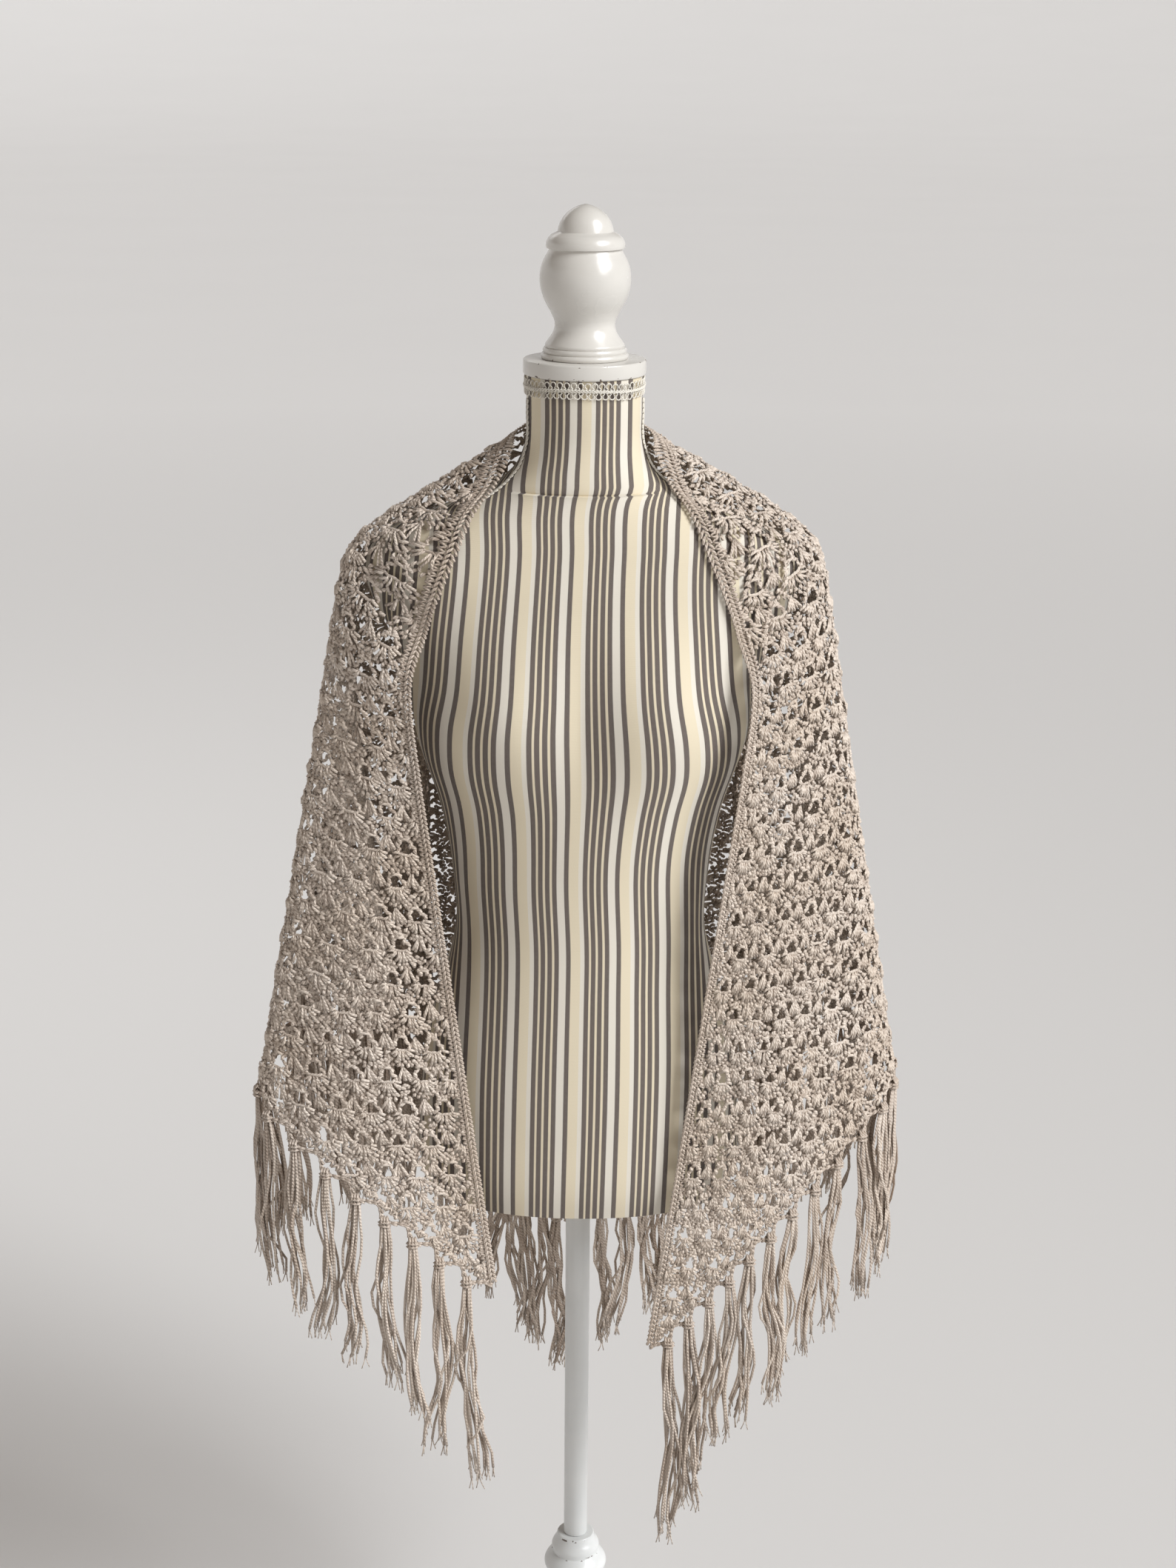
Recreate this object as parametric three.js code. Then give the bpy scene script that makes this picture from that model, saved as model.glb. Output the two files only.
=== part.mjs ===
// A crocheted lace shawl with a knotted fringe, draped over a limbless dress form.
// Millimetres, +Z up. The origin is the centre of the underside of the form's base.
// The shawl opens at the front, towards -Y.
import * as THREE from 'three';

// The shawl as it lies flat: a triangle with a long neck edge and its point at the back.
// u runs along the neck edge from the middle, v runs down from it.
const motifsPerHalf = 22;
const halfLongEdge = 934;
const depthAtBack = 840;
const edgingWidth = 7.5;
const edgingThick = 4;
const slipAtNeck = 32;
const slipAtPoint = -15;
const clothThick = 2.6;
const seamGap = 0.3;
const clothSeam = 0.5;
const gapSize = 11;
const gapTowardsNeck = 3;
const motifAcross = halfLongEdge / motifsPerHalf;
const motifDown = (depthAtBack - edgingWidth - seamGap) / motifsPerHalf;
const backMotifs = 4;
const frontMotifs = 5;
const chestMotifs = 12;
const shoulderMotifs = 6;

// The neck edge stands round the nape, from the side of the neck to the middle of the back.
const neckEdgeRadius = 57;
const neckEdgeStart = THREE.MathUtils.degToRad(-20);
const neckEdgeLength = neckEdgeRadius * (Math.PI / 2 - neckEdgeStart);
const neckEdgeHeight = 1324;
const neckEdgeRise = 12;

// Lines of cloth that hang from the neck edge, one for each edge, ridge and valley of a half.
// angle is where the line runs on the flat cloth, from the front edge at 0 to the back at 90.
// The line crosses the shoulder for a length of run, to the place breakX, breakY, and then hangs.
// lowX, lowY is where it has come to when lowLength of it has been used.
// The folds lie a little further round on one side than on the other: foldTurn shifts all of them,
// and panelTurn carries the ridge beside the front panel towards the back or the front.
const lowLength = 600;
const shoulderRounding = 20;
const foldRounding = 4;
const foldTurn = 5;
const panelTurn = 16;
const panelRidge = 18;
const panelSpread = 9;
const leastDrop = 0.1;
const hangingLines = [
  { line: 'front edge', angle: 0, breakX: 150, breakY: -84, run: 226, lowX: 99, lowY: -92 },
  { line: 'front ridge', angle: 9, breakX: 184, breakY: -66, run: 208, lowX: 192, lowY: -94 },
  { line: 'side ridge', angle: 18, breakX: 211, breakY: -27, run: 186, lowX: 303, lowY: -39 },
  { line: 'side valley', angle: 31, breakX: 218, breakY: 6, run: 187, lowX: 153, lowY: 8 },
  { line: 'rear ridge', angle: 44, breakX: 188, breakY: 52, run: 186, lowX: 294, lowY: 64 },
  { line: 'rear valley', angle: 57, breakX: 148, breakY: 84, run: 184, lowX: 118, lowY: 94 },
  { line: 'back ridge', angle: 68, breakX: 108, breakY: 106, run: 186, lowX: 242, lowY: 156 },
  { line: 'back fold', angle: 79, breakX: 54, breakY: 113, run: 186, lowX: 114, lowY: 155 },
  { line: 'back middle', angle: 90, breakX: 0, breakY: 115, run: 186, lowX: 0, lowY: 128 },
];

// The fringe: locks of yarn knotted along a narrow strip under the hem.
const locksPerMotif = 2;
const stripGap = 2.1;
const stripDeep = 5;
const stripThick = 2.6;
const lockRoot = 9;
const lockSway = { across: 3, along: 1.2, perLock: 2.4, perStep: 1.7 };
const lockLong = 162;
const lockLongAtTip = 206;
const lockSteps = [
  { down: 0.08, wide: 0.8 },
  { down: 1, wide: 0.9 },
];

// The dress form, a row for each height: half its width, and its depth to the front and back.
const formSides = 30;
const formRoundness = 2.15;
const clothOffForm = 7.3;
const formRows = [
  { z: 620, wide: 141, front: 86, back: 92 },
  { z: 634, wide: 146, front: 91, back: 97 },
  { z: 700, wide: 148, front: 95, back: 101 },
  { z: 780, wide: 138, front: 91, back: 92 },
  { z: 830, wide: 125, front: 87, back: 82 },
  { z: 876, wide: 119, front: 84, back: 77 },
  { z: 930, wide: 123, front: 86, back: 79 },
  { z: 990, wide: 135, front: 93, back: 86 },
  { z: 1060, wide: 148, front: 101, back: 93 },
  { z: 1110, wide: 155, front: 102, back: 97 },
  { z: 1150, wide: 168, front: 98, back: 99 },
  { z: 1185, wide: 186, front: 91, back: 97 },
  { z: 1208, wide: 194, front: 86, back: 94 },
  { z: 1224, wide: 191, front: 81, back: 90 },
  { z: 1238, wide: 176, front: 77, back: 86 },
  { z: 1252, wide: 148, front: 72, back: 80 },
  { z: 1266, wide: 112, front: 66, back: 73 },
  { z: 1280, wide: 82, front: 60, back: 66 },
  { z: 1296, wide: 62, front: 55, back: 58 },
  { z: 1316, wide: 52, front: 50, back: 52 },
  { z: 1350, wide: 50, front: 50, back: 50 },
  { z: 1378, wide: 50, front: 50, back: 50 },
];
const bust = { height: 1092, proud: 20, spread: 62, turn: 34, turnSpread: 22 };

// Trim and stand.
const braidHigh = 16;
const braidThick = 3;
const braidTop = 1377;
const shoulderBraidWide = 5;
const shoulderBraidEnd = 1266;
const poleRadius = 11.5;
const baseRadius = 170;
const baseHigh = 22;
const hubTop = 236;
const capRadius = 53;
const capLow = 1378.3;
const capTop = 1391.5;

const part = new THREE.Group();

function addPiece(name, geometry, material) {
  const mesh = new THREE.Mesh(geometry, material);
  mesh.name = name;
  part.add(mesh);
}

// A smooth curve through one column of a table, and straight on past its ends.
function curveThrough(rows, along, column) {
  const at = rows.map((row) => row[along]);
  const value = rows.map((row) => row[column]);
  const last = at.length - 1;
  const rise = (k) => (value[k + 1] - value[k]) / (at[k + 1] - at[k]);
  const slope = at.map((_, k) => {
    if (k === 0) return rise(0);
    if (k === last) return rise(last - 1);
    const before = at[k] - at[k - 1];
    const after = at[k + 1] - at[k];
    return (rise(k - 1) * after + rise(k) * before) / (before + after);
  });
  return (t) => {
    if (t <= at[0]) return value[0] + slope[0] * (t - at[0]);
    if (t >= at[last]) return value[last] + slope[last] * (t - at[last]);
    const k = at.findIndex((_, n) => t < at[n + 1]);
    const step = at[k + 1] - at[k];
    const s = (t - at[k]) / step;
    const swing = step * s * (1 - s) * (slope[k] * (1 - s) - slope[k + 1] * s);
    return THREE.MathUtils.lerp(value[k], value[k + 1], s * s * (3 - 2 * s)) + swing;
  };
}

// Straight stretches through one column of a table, with the corners between them rounded off.
function roundedThrough(rows, along, column, reach) {
  const at = rows.map((row) => row[along]);
  const value = rows.map((row) => row[column]);
  const areaTo = (t) => {
    let area = 0;
    for (let k = 0; k < at.length - 1; k += 1) {
      const from = k === 0 ? t : Math.max(at[k], t);
      const to = k === at.length - 2 ? Math.max(t, at[k + 1]) : at[k + 1];
      const slope = (value[k + 1] - value[k]) / (at[k + 1] - at[k]);
      const middle = value[k] + slope * ((from + to) / 2 - at[k]);
      if (to > from) area -= middle * (to - from);
    }
    return area;
  };
  return (t) => (areaTo(t + reach) - areaTo(t - reach)) / (2 * reach);
}

// The outline of the form at a height, as a distance from its axis in a direction.
const formWide = curveThrough(formRows, 'z', 'wide');
const formFront = curveThrough(formRows, 'z', 'front');
const formBack = curveThrough(formRows, 'z', 'back');

function formRadius(turn, z) {
  const across = Math.abs(Math.cos(turn)) / formWide(z);
  const along = Math.abs(Math.sin(turn)) / (Math.sin(turn) < 0 ? formFront(z) : formBack(z));
  const plain = (across ** formRoundness + along ** formRoundness) ** (-1 / formRoundness);
  const fromFront = Math.abs(THREE.MathUtils.radToDeg(Math.atan2(Math.cos(turn), -Math.sin(turn))));
  const round = Math.exp(-(((fromFront - bust.turn) / bust.turnSpread) ** 2));
  const high = Math.exp(-(((z - bust.height) / bust.spread) ** 2));
  return plain + bust.proud * round * high;
}

function formPoint(turn, z, out = 0) {
  const radius = formRadius(turn, z);
  const surface = new THREE.Vector3(radius * Math.cos(turn), radius * Math.sin(turn), z);
  return surface.addScaledVector(awayFromForm(surface), out);
}

function offForm(point) {
  return Math.hypot(point.x, point.y) - formRadius(Math.atan2(point.y, point.x), point.z);
}

function formGradient(point) {
  const reach = 0.5;
  return new THREE.Vector3(...['x', 'y', 'z'].map((axis) => {
    const ahead = point.clone();
    const behind = point.clone();
    ahead[axis] += reach;
    behind[axis] -= reach;
    return (offForm(ahead) - offForm(behind)) / (2 * reach);
  }));
}

function awayFromForm(point) {
  return formGradient(point).normalize();
}

// Moves a point of the cloth out until it lies on the form, easing into the touch.
function clearOfForm(point) {
  const easing = 4;
  const tries = 4;
  for (let k = 0; k < tries; k += 1) {
    const gradient = formGradient(point);
    const slope = gradient.length();
    const spare = offForm(point) / slope - clothOffForm;
    const wanted = (spare + Math.hypot(spare, easing)) / 2;
    const share = k === 0 ? wanted - spare : Math.max(-spare, 0);
    point.addScaledVector(gradient, share / slope);
  }
  return point;
}

// The hanging lines carried round behind, so that the cloth is smooth across the back.
const linesRoundBack = hangingLines.slice(0, -1).reverse().map((row) => ({
  ...row,
  angle: 180 - row.angle,
  breakX: -row.breakX,
  lowX: -row.lowX,
}));
const allLines = [...hangingLines, ...linesRoundBack];
const lineColumns = ['breakX', 'breakY', 'run', 'lowX', 'lowY'];
const lineCurves = lineColumns.map((column) => roundedThrough(allLines, 'angle', column, foldRounding));

// The place of a point on a half, side -1 or 1, given its line's angle and its length down the line.
function hangAt(side, angle, length) {
  const line = angle - side * foldTurn * Math.sin(THREE.MathUtils.degToRad(2 * angle));
  const [breakX, breakY, run, lowX, plainLowY] = lineCurves.map((curve) => curve(line));
  const nearRidge = Math.exp(-(((line - panelRidge) / panelSpread) ** 2));
  const lowY = plainLowY + side * panelTurn * nearRidge;
  const turn = neckEdgeStart + (angle / 90) * (Math.PI / 2 - neckEdgeStart);
  const neck = new THREE.Vector2(Math.cos(turn), Math.sin(turn)).multiplyScalar(neckEdgeRadius);
  const overShoulder = new THREE.Vector2(breakX, breakY).sub(neck).divideScalar(run);
  const hanging = new THREE.Vector2(lowX - breakX, lowY - breakY).divideScalar(lowLength - run);
  const past = (s) => (s - run + Math.hypot(s - run, shoulderRounding)) / 2;
  const hung = (s) => (1 + (s - run) / Math.hypot(s - run, shoulderRounding)) / 2;
  const drop = (s) => {
    const sideways = overShoulder.clone().lerp(hanging, hung(s)).lengthSq();
    return Math.sqrt(Math.max(1 - sideways, leastDrop ** 2));
  };
  const steps = 40;
  let z = neckEdgeHeight + neckEdgeRise * Math.sin(turn);
  for (let k = 0; k < steps; k += 1) {
    z -= (drop((length * (k + 0.5)) / steps) * length) / steps;
  }
  const used = past(length) - past(0);
  const place = neck.addScaledVector(overShoulder, length - used).addScaledVector(hanging, used);
  return new THREE.Vector3(side * place.x, place.y, z);
}

// The line through a flat point: its angle in degrees, and the length along it.
function lineThrough(u, v) {
  if (v <= 0) {
    const along = Math.min(u / neckEdgeLength, 1);
    return [90 * (1 - along), Math.max(u - neckEdgeLength, 0)];
  }
  let low = 0;
  let high = 90;
  for (let k = 0; k < 50; k += 1) {
    const angle = (low + high) / 2;
    const reach = neckEdgeLength * (1 - angle / 90) + v / Math.tan(THREE.MathUtils.degToRad(angle));
    if (reach > u) low = angle;
    else high = angle;
  }
  return [low, v / Math.sin(THREE.MathUtils.degToRad(low))];
}

function clothPoint(u, v) {
  const onBody = u + THREE.MathUtils.lerp(slipAtNeck, slipAtPoint, v / depthAtBack);
  const side = onBody < 0 ? -1 : 1;
  return clearOfForm(hangAt(side, ...lineThrough(Math.abs(onBody), v)));
}

function clothNormal(u, v) {
  const reach = 4;
  const lower = Math.max(v - reach, 0);
  const along = clothPoint(u + reach, v).sub(clothPoint(u - reach, v));
  const down = clothPoint(u, v + reach).sub(clothPoint(u, lower));
  return along.cross(down).normalize();
}

function clothOut([u, v], out) {
  return clothPoint(u, v).addScaledVector(clothNormal(u, v), out);
}

function solidFrom(points, triangles) {
  const geometry = new THREE.BufferGeometry();
  const flatPoints = points.flatMap((point) => [point.x, point.y, point.z]);
  geometry.setAttribute('position', new THREE.Float32BufferAttribute(flatPoints, 3));
  geometry.setIndex(triangles.flat());
  geometry.computeVertexNormals();
  return geometry;
}

function quad(a, b, c, d) {
  return [[a, b, c], [a, c, d]];
}

// A closed wall of cloth over a flat layout of triangles, with a rim round each free edge.
// Rims that face each other across a seam are split along the same diagonal.
function clothWall(layout, triangles) {
  const count = layout.length;
  const half = clothThick / 2;
  const outer = layout.map((flat) => clothOut(flat, half));
  const inner = layout.map((flat) => clothOut(flat, -half));
  const faces = triangles.flatMap(([a, b, c]) => [[a, b, c], [a + count, c + count, b + count]]);
  const edges = new Set();
  triangles.forEach(([a, b, c]) => {
    [[a, b], [b, c], [c, a]].forEach(([from, to]) => edges.add(`${from} ${to}`));
  });
  edges.forEach((edge) => {
    const [from, to] = edge.split(' ').map(Number);
    if (edges.has(`${to} ${from}`)) return;
    const onward = layout[from][0] + layout[from][1] < layout[to][0] + layout[to][1];
    if (onward) faces.push(...quad(to, from, from + count, to + count));
    else faces.push(...quad(from, from + count, to + count, to));
  });
  return solidFrom([...outer, ...inner], faces);
}

// A bar with four sides through a row of sections, each four points, with flat ends.
function bar(sections) {
  const faces = [];
  const last = (sections.length - 1) * 4;
  sections.slice(1).forEach((_, n) => {
    for (let k = 0; k < 4; k += 1) {
      const next = (k + 1) % 4;
      faces.push(...quad(n * 4 + k, n * 4 + next, n * 4 + 4 + next, n * 4 + 4 + k));
    }
  });
  faces.push(...quad(3, 2, 1, 0), ...quad(last, last + 1, last + 2, last + 3));
  return solidFrom(sections.flat(), faces);
}

// Whether the cloth bends so sharply at a flat place, in motifs, that edges there are halved.
function bendsAt(i, j) {
  const across = Math.abs(i);
  return across + j <= shoulderMotifs || (across >= backMotifs && j >= frontMotifs - 1);
}

// One stretch of lace: motifs from i0 to i1 along the neck edge and from j0 down to j1.
// Every second motif has its gap cut through, and the motifs on the hem are halves.
function laceStretch(i0, i1, j0, j1) {
  const layout = [];
  const triangles = [];
  const known = new Map();
  const seamAt = (index, first, last) => {
    if (Math.abs(index) === motifsPerHalf) return 0;
    if (index === first) return clothSeam / 2;
    return index === last ? -clothSeam / 2 : 0;
  };
  const corner = (i, j) => {
    const key = `${i} ${j}`;
    if (!known.has(key)) {
      known.set(key, layout.length);
      const u = i * motifAcross + seamAt(i, i0, i1);
      const v = edgingWidth + seamGap + j * motifDown + seamAt(j, j0, j1);
      layout.push([u, v]);
    }
    return known.get(key);
  };
  const edge = ([i, j], [iNext, jNext]) => {
    const middle = [(i + iNext) / 2, (j + jNext) / 2];
    const points = bendsAt(...middle) ? [corner(...middle)] : [];
    return [corner(i, j), ...points];
  };
  const gapCorner = (i, j, across, down) => {
    const towardsNeck = i < 0 ? gapTowardsNeck : -gapTowardsNeck;
    const u = (i + 0.5) * motifAcross + towardsNeck + (across * gapSize) / 2;
    const v = edgingWidth + (j + 0.5) * motifDown - gapTowardsNeck + (down * gapSize) / 2;
    return layout.push([u, v]) - 1;
  };
  const plainMotif = (edges) => {
    const rim = edges.flat();
    if (rim.length === 3) triangles.push(rim);
    else if (rim.length === 4) triangles.push(...quad(...rim));
    else if (edges.every((points) => points.length === 2)) {
      const middles = edges.map((points) => points[1]);
      edges.forEach(([from, middle], k) => triangles.push([middles.at(k - 1), from, middle]));
      triangles.push(...(middles.length === 3 ? [middles] : quad(...middles)));
    } else {
      const sum = rim.reduce(([u, v], n) => [u + layout[n][0], v + layout[n][1]], [0, 0]);
      const middle = layout.push([sum[0] / rim.length, sum[1] / rim.length]) - 1;
      rim.forEach((from, k) => triangles.push([from, rim[(k + 1) % rim.length], middle]));
    }
  };
  const openMotif = (edges, gap) => {
    edges.forEach((points, k) => {
      const chain = [...points, edges[(k + 1) % 4][0]];
      const gapNext = gap[(k + 1) % 4];
      const turnAt = chain.length - 2;
      chain.slice(1).forEach((to, n) => triangles.push([chain[n], to, n < turnAt ? gap[k] : gapNext]));
      triangles.push([chain[turnAt], gapNext, gap[k]]);
    });
  };
  for (let i = i0; i < i1; i += 1) {
    for (let j = j0; j < j1; j += 1) {
      const outer = Math.max(Math.abs(i), Math.abs(i + 1));
      const onHem = outer + j + 1 > motifsPerHalf;
      if (outer + j > motifsPerHalf) continue;
      const round = [[i, j], [i + 1, j], [i + 1, j + 1], [i, j + 1]];
      if (onHem) round.splice(i < 0 ? 3 : 2, 1);
      const edges = round.map((from, k) => edge(from, round[(k + 1) % round.length]));
      if (onHem || (outer + j) % 2 === 0) plainMotif(edges);
      else {
        const signs = [[-1, -1], [1, -1], [1, 1], [-1, 1]];
        openMotif(edges, signs.map(([across, down]) => gapCorner(i, j, across, down)));
      }
    }
  }
  return clothWall(layout, triangles);
}

// Flat stations along the edge of the lace, in motifs, as the lace itself is divided.
function edgeStations(from, to, placeAt) {
  const stations = [];
  for (let k = from; k < to; k += 1) {
    stations.push(k);
    if (bendsAt(...placeAt(k + 0.5))) stations.push(k + 0.5);
  }
  return [...stations, to];
}

// The worked edging, thicker than the lace, along the neck edge from one motif to another.
function edgingStretch(i0, i1) {
  const half = edgingThick / 2;
  const stations = edgeStations(i0, i1, (i) => [i, 0]);
  const sections = stations.map((i) => {
    const u = i * motifAcross + (i === 0 ? Math.sign(i0 + i1) * (clothSeam / 2) : 0);
    return [
      clothOut([u, 0], half),
      clothOut([u, 0], -half),
      clothOut([u, edgingWidth], -half),
      clothOut([u, edgingWidth], half),
    ];
  });
  return bar(sections);
}

// The strip under the hem of a half, side -1 or 1, as a section of four points at a place in motifs.
function stripSection(side, motifs) {
  const hemLong = Math.hypot(halfLongEdge, depthAtBack);
  const u = side * motifs * motifAcross;
  const v = edgingWidth + seamGap + (motifsPerHalf - motifs) * motifDown;
  const half = stripThick / 2;
  const facing = clothNormal(u, v);
  const place = (out, thick) => {
    const across = (side * out * depthAtBack) / hemLong;
    const down = (out * halfLongEdge) / hemLong;
    return clothPoint(u + across, v + down).addScaledVector(facing, thick);
  };
  const low = stripGap + stripDeep;
  return [place(stripGap, half), place(stripGap, -half), place(low, -half), place(low, half)];
}

// Fringe along the hem of a half from one motif to another: a strip with a lock at every third face.
function fringe(side, from, to) {
  const placeOnHem = (motifs) => [motifs, motifsPerHalf - motifs];
  const divided = edgeStations(from, to, placeOnHem);
  const knots = divided.map((motifs) => stripSection(side, motifs));
  const rootShare = lockRoot / Math.hypot(motifAcross, motifDown);
  const stations = [];
  for (let k = from * locksPerMotif; k < to * locksPerMotif; k += 1) {
    const middle = (k + 0.5) / locksPerMotif;
    stations.push(k / locksPerMotif, middle - rootShare / 2, middle + rootShare / 2);
  }
  stations.push(to);
  const inset = seamGap / motifAcross;
  stations[0] += inset;
  stations[stations.length - 1] -= inset;
  const sections = stations.map((motifs) => {
    const k = divided.findIndex((_, n) => n === divided.length - 2 || motifs < divided[n + 1]);
    const share = (motifs - divided[k]) / (divided[k + 1] - divided[k]);
    return knots[k].map((point, n) => point.clone().lerp(knots[k + 1][n], share));
  });
  const longest = stations.map((motifs) => {
    const nearTip = THREE.MathUtils.smoothstep(motifs, motifsPerHalf - 2, motifsPerHalf);
    return THREE.MathUtils.lerp(lockLong, lockLongAtTip, nearTip);
  });
  if (side < 0) {
    sections.reverse();
    longest.reverse();
  }
  const points = sections.flat();
  const faces = [];
  const last = (sections.length - 1) * 4;
  sections.slice(1).forEach((_, n) => {
    for (let k = 0; k < 4; k += 1) {
      const next = (k + 1) % 4;
      const ring = [n * 4 + k, n * 4 + next, n * 4 + 4 + next, n * 4 + 4 + k];
      if (k === 2 && n % 3 === 1) faces.push(...lock(points, ring, n, longest[n]));
      else faces.push(...quad(...ring));
    }
  });
  faces.push(...quad(3, 2, 1, 0), ...quad(last, last + 1, last + 2, last + 3));
  return solidFrom(points, faces);
}

// A lock of yarn that hangs straight down from a ring of four points on the strip.
function lock(points, root, number, long) {
  const faces = [];
  const middle = root.reduce((sum, n) => sum.add(points[n]), new THREE.Vector3()).divideScalar(4);
  let ring = root;
  lockSteps.forEach(({ down, wide }, step) => {
    const sway = Math.sin(number * lockSway.perLock + step * lockSway.perStep);
    const shift = new THREE.Vector3(sway * lockSway.across, sway * lockSway.along, -down * long);
    const centre = middle.clone().add(shift);
    const next = root.map((n) => {
      const spread = points[n].clone().sub(middle).multiplyScalar(wide).setZ(0);
      points.push(spread.add(centre));
      return points.length - 1;
    });
    for (let k = 0; k < 4; k += 1) {
      faces.push(...quad(ring[k], ring[(k + 1) % 4], next[(k + 1) % 4], next[k]));
    }
    ring = next;
  });
  faces.push(...quad(...ring));
  return faces;
}

// The padded torso: rings at each height of the table, closed at the neck and the foot.
function torso() {
  const points = [];
  const faces = [];
  formRows.forEach(({ z }) => {
    for (let k = 0; k < formSides; k += 1) points.push(formPoint((k / formSides) * 2 * Math.PI, z));
  });
  for (let n = 0; n < formRows.length - 1; n += 1) {
    for (let k = 0; k < formSides; k += 1) {
      const next = (k + 1) % formSides;
      const low = n * formSides;
      const high = low + formSides;
      faces.push(...quad(low + k, low + next, high + next, high + k));
    }
  }
  const top = (formRows.length - 1) * formSides;
  for (let k = 1; k < formSides - 1; k += 1) {
    faces.push([0, k + 1, k], [top, top + k, top + k + 1]);
  }
  return solidFrom(points, faces);
}

// Gimp braid round the top of the neck.
function neckBraid() {
  const points = [];
  const faces = [];
  for (let k = 0; k < formSides; k += 1) {
    const turn = (k / formSides) * 2 * Math.PI;
    const low = braidTop - braidHigh;
    points.push(formPoint(turn, low, seamGap), formPoint(turn, low, seamGap + braidThick));
    points.push(formPoint(turn, braidTop, seamGap + braidThick), formPoint(turn, braidTop, seamGap));
    for (let side = 0; side < 4; side += 1) {
      const next = (side + 1) % 4;
      const onward = ((k + 1) % formSides) * 4;
      faces.push(...quad(k * 4 + next, k * 4 + side, onward + side, onward + next));
    }
  }
  return solidFrom(points, faces);
}

// Gimp braid down the side of the neck and out along the shoulder, under the shawl.
function shoulderBraid(side) {
  const sections = [];
  const half = shoulderBraidWide / 2;
  const top = braidTop - braidHigh - seamGap;
  const heights = formRows.map((row) => row.z).filter((z) => z >= shoulderBraidEnd && z < top);
  [top, ...heights.reverse()].forEach((z) => {
    const lean = Math.asin(half / formRadius(0, z));
    const corner = (turn, out) => {
      const point = formPoint(turn, z, out);
      point.x *= side;
      return point;
    };
    const ring = [
      corner(lean, seamGap),
      corner(lean, seamGap + braidThick),
      corner(-lean, seamGap + braidThick),
      corner(-lean, seamGap),
    ];
    sections.push(side > 0 ? ring : ring.reverse());
  });
  return bar(sections);
}

// A turned piece: a profile of radius and height that starts and ends on the axis.
function turned(profile, sides) {
  const outline = profile.map(([radius, z]) => new THREE.Vector2(radius, z));
  return new THREE.LatheGeometry(outline, sides).rotateX(Math.PI / 2);
}

// An arc of a turned profile, bulging outwards between two heights.
function bulge(z0, r0, z1, r1, proud, steps) {
  return Array.from({ length: steps + 1 }, (_, k) => {
    const s = k / steps;
    const radius = THREE.MathUtils.lerp(r0, r1, s) + proud * Math.sin(Math.PI * s);
    return [radius, THREE.MathUtils.lerp(z0, z1, s)];
  });
}

const finialFoot = capTop + seamGap;
const finialProfile = [
  [0, finialFoot],
  ...bulge(finialFoot, 36.5, finialFoot + 7, 36.5, 1.5, 3),
  ...bulge(finialFoot + 7.5, 34, finialFoot + 13, 33.5, 1, 2),
  [32, finialFoot + 15],
  [27.5, finialFoot + 22],
  [25.8, finialFoot + 30],
  ...bulge(finialFoot + 36, 28, finialFoot + 91, 31, 9.2, 7),
  [31, finialFoot + 92.5],
  [33.2, finialFoot + 95],
  [32.5, finialFoot + 99],
  [26, finialFoot + 106],
  ...bulge(finialFoot + 108, 24.5, finialFoot + 128, 5, 9, 4),
  [0, finialFoot + 129],
];
const capProfile = [
  [0, capLow],
  [capRadius - 1.5, capLow],
  [capRadius, capLow + 1.5],
  [capRadius, capTop - 2],
  [capRadius - 2, capTop],
  [0, capTop],
];
const poleProfile = [
  [0, hubTop + seamGap],
  [poleRadius, hubTop + seamGap],
  [poleRadius, formRows[0].z - seamGap],
  [0, formRows[0].z - seamGap],
];
const hubProfile = [
  [0, baseHigh + seamGap],
  [44, baseHigh + seamGap],
  ...bulge(baseHigh + 3, 42, baseHigh + 21, 38, 4, 3),
  [30, baseHigh + 27],
  [25, baseHigh + 60],
  ...bulge(baseHigh + 70, 26, hubTop - 46, 26, 10, 5),
  [24, hubTop - 42],
  ...bulge(hubTop - 38, 29, hubTop - 24, 27, 2.5, 3),
  [22.5, hubTop - 20],
  ...bulge(hubTop - 18, 22.5, hubTop - 8, 21, 1.5, 2),
  [18.5, hubTop - 5],
  [18, hubTop],
  [0, hubTop],
];
const baseProfile = [
  [0, 0],
  [baseRadius - 2, 0],
  [baseRadius, 2],
  [baseRadius, baseHigh - 12],
  ...bulge(baseHigh - 11, baseRadius - 1, baseHigh - 2, baseRadius - 12, 3, 3),
  [baseRadius - 20, baseHigh],
  [0, baseHigh],
];

const yarn = new THREE.MeshStandardMaterial({ color: 0xbdad9f, roughness: 0.75, metalness: 0 });
const ticking = new THREE.MeshStandardMaterial({ color: 0xd9cdb8, roughness: 0.85, metalness: 0 });
const gimp = new THREE.MeshStandardMaterial({ color: 0xe4dcca, roughness: 0.7, metalness: 0 });
const paint = new THREE.MeshStandardMaterial({ color: 0xf1eeea, roughness: 0.25, metalness: 0 });
const end = motifsPerHalf;

addPiece('base', turned(baseProfile, 28), paint);
addPiece('hub', turned(hubProfile, 14), paint);
addPiece('pole', turned(poleProfile, 16), paint);
addPiece('form_torso', torso(), ticking);
addPiece('neck_braid', neckBraid(), gimp);
addPiece('shoulder_braid_left', shoulderBraid(-1), gimp);
addPiece('shoulder_braid_right', shoulderBraid(1), gimp);
addPiece('neck_cap', turned(capProfile, 24), paint);
addPiece('finial', turned(finialProfile, 16), paint);

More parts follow.
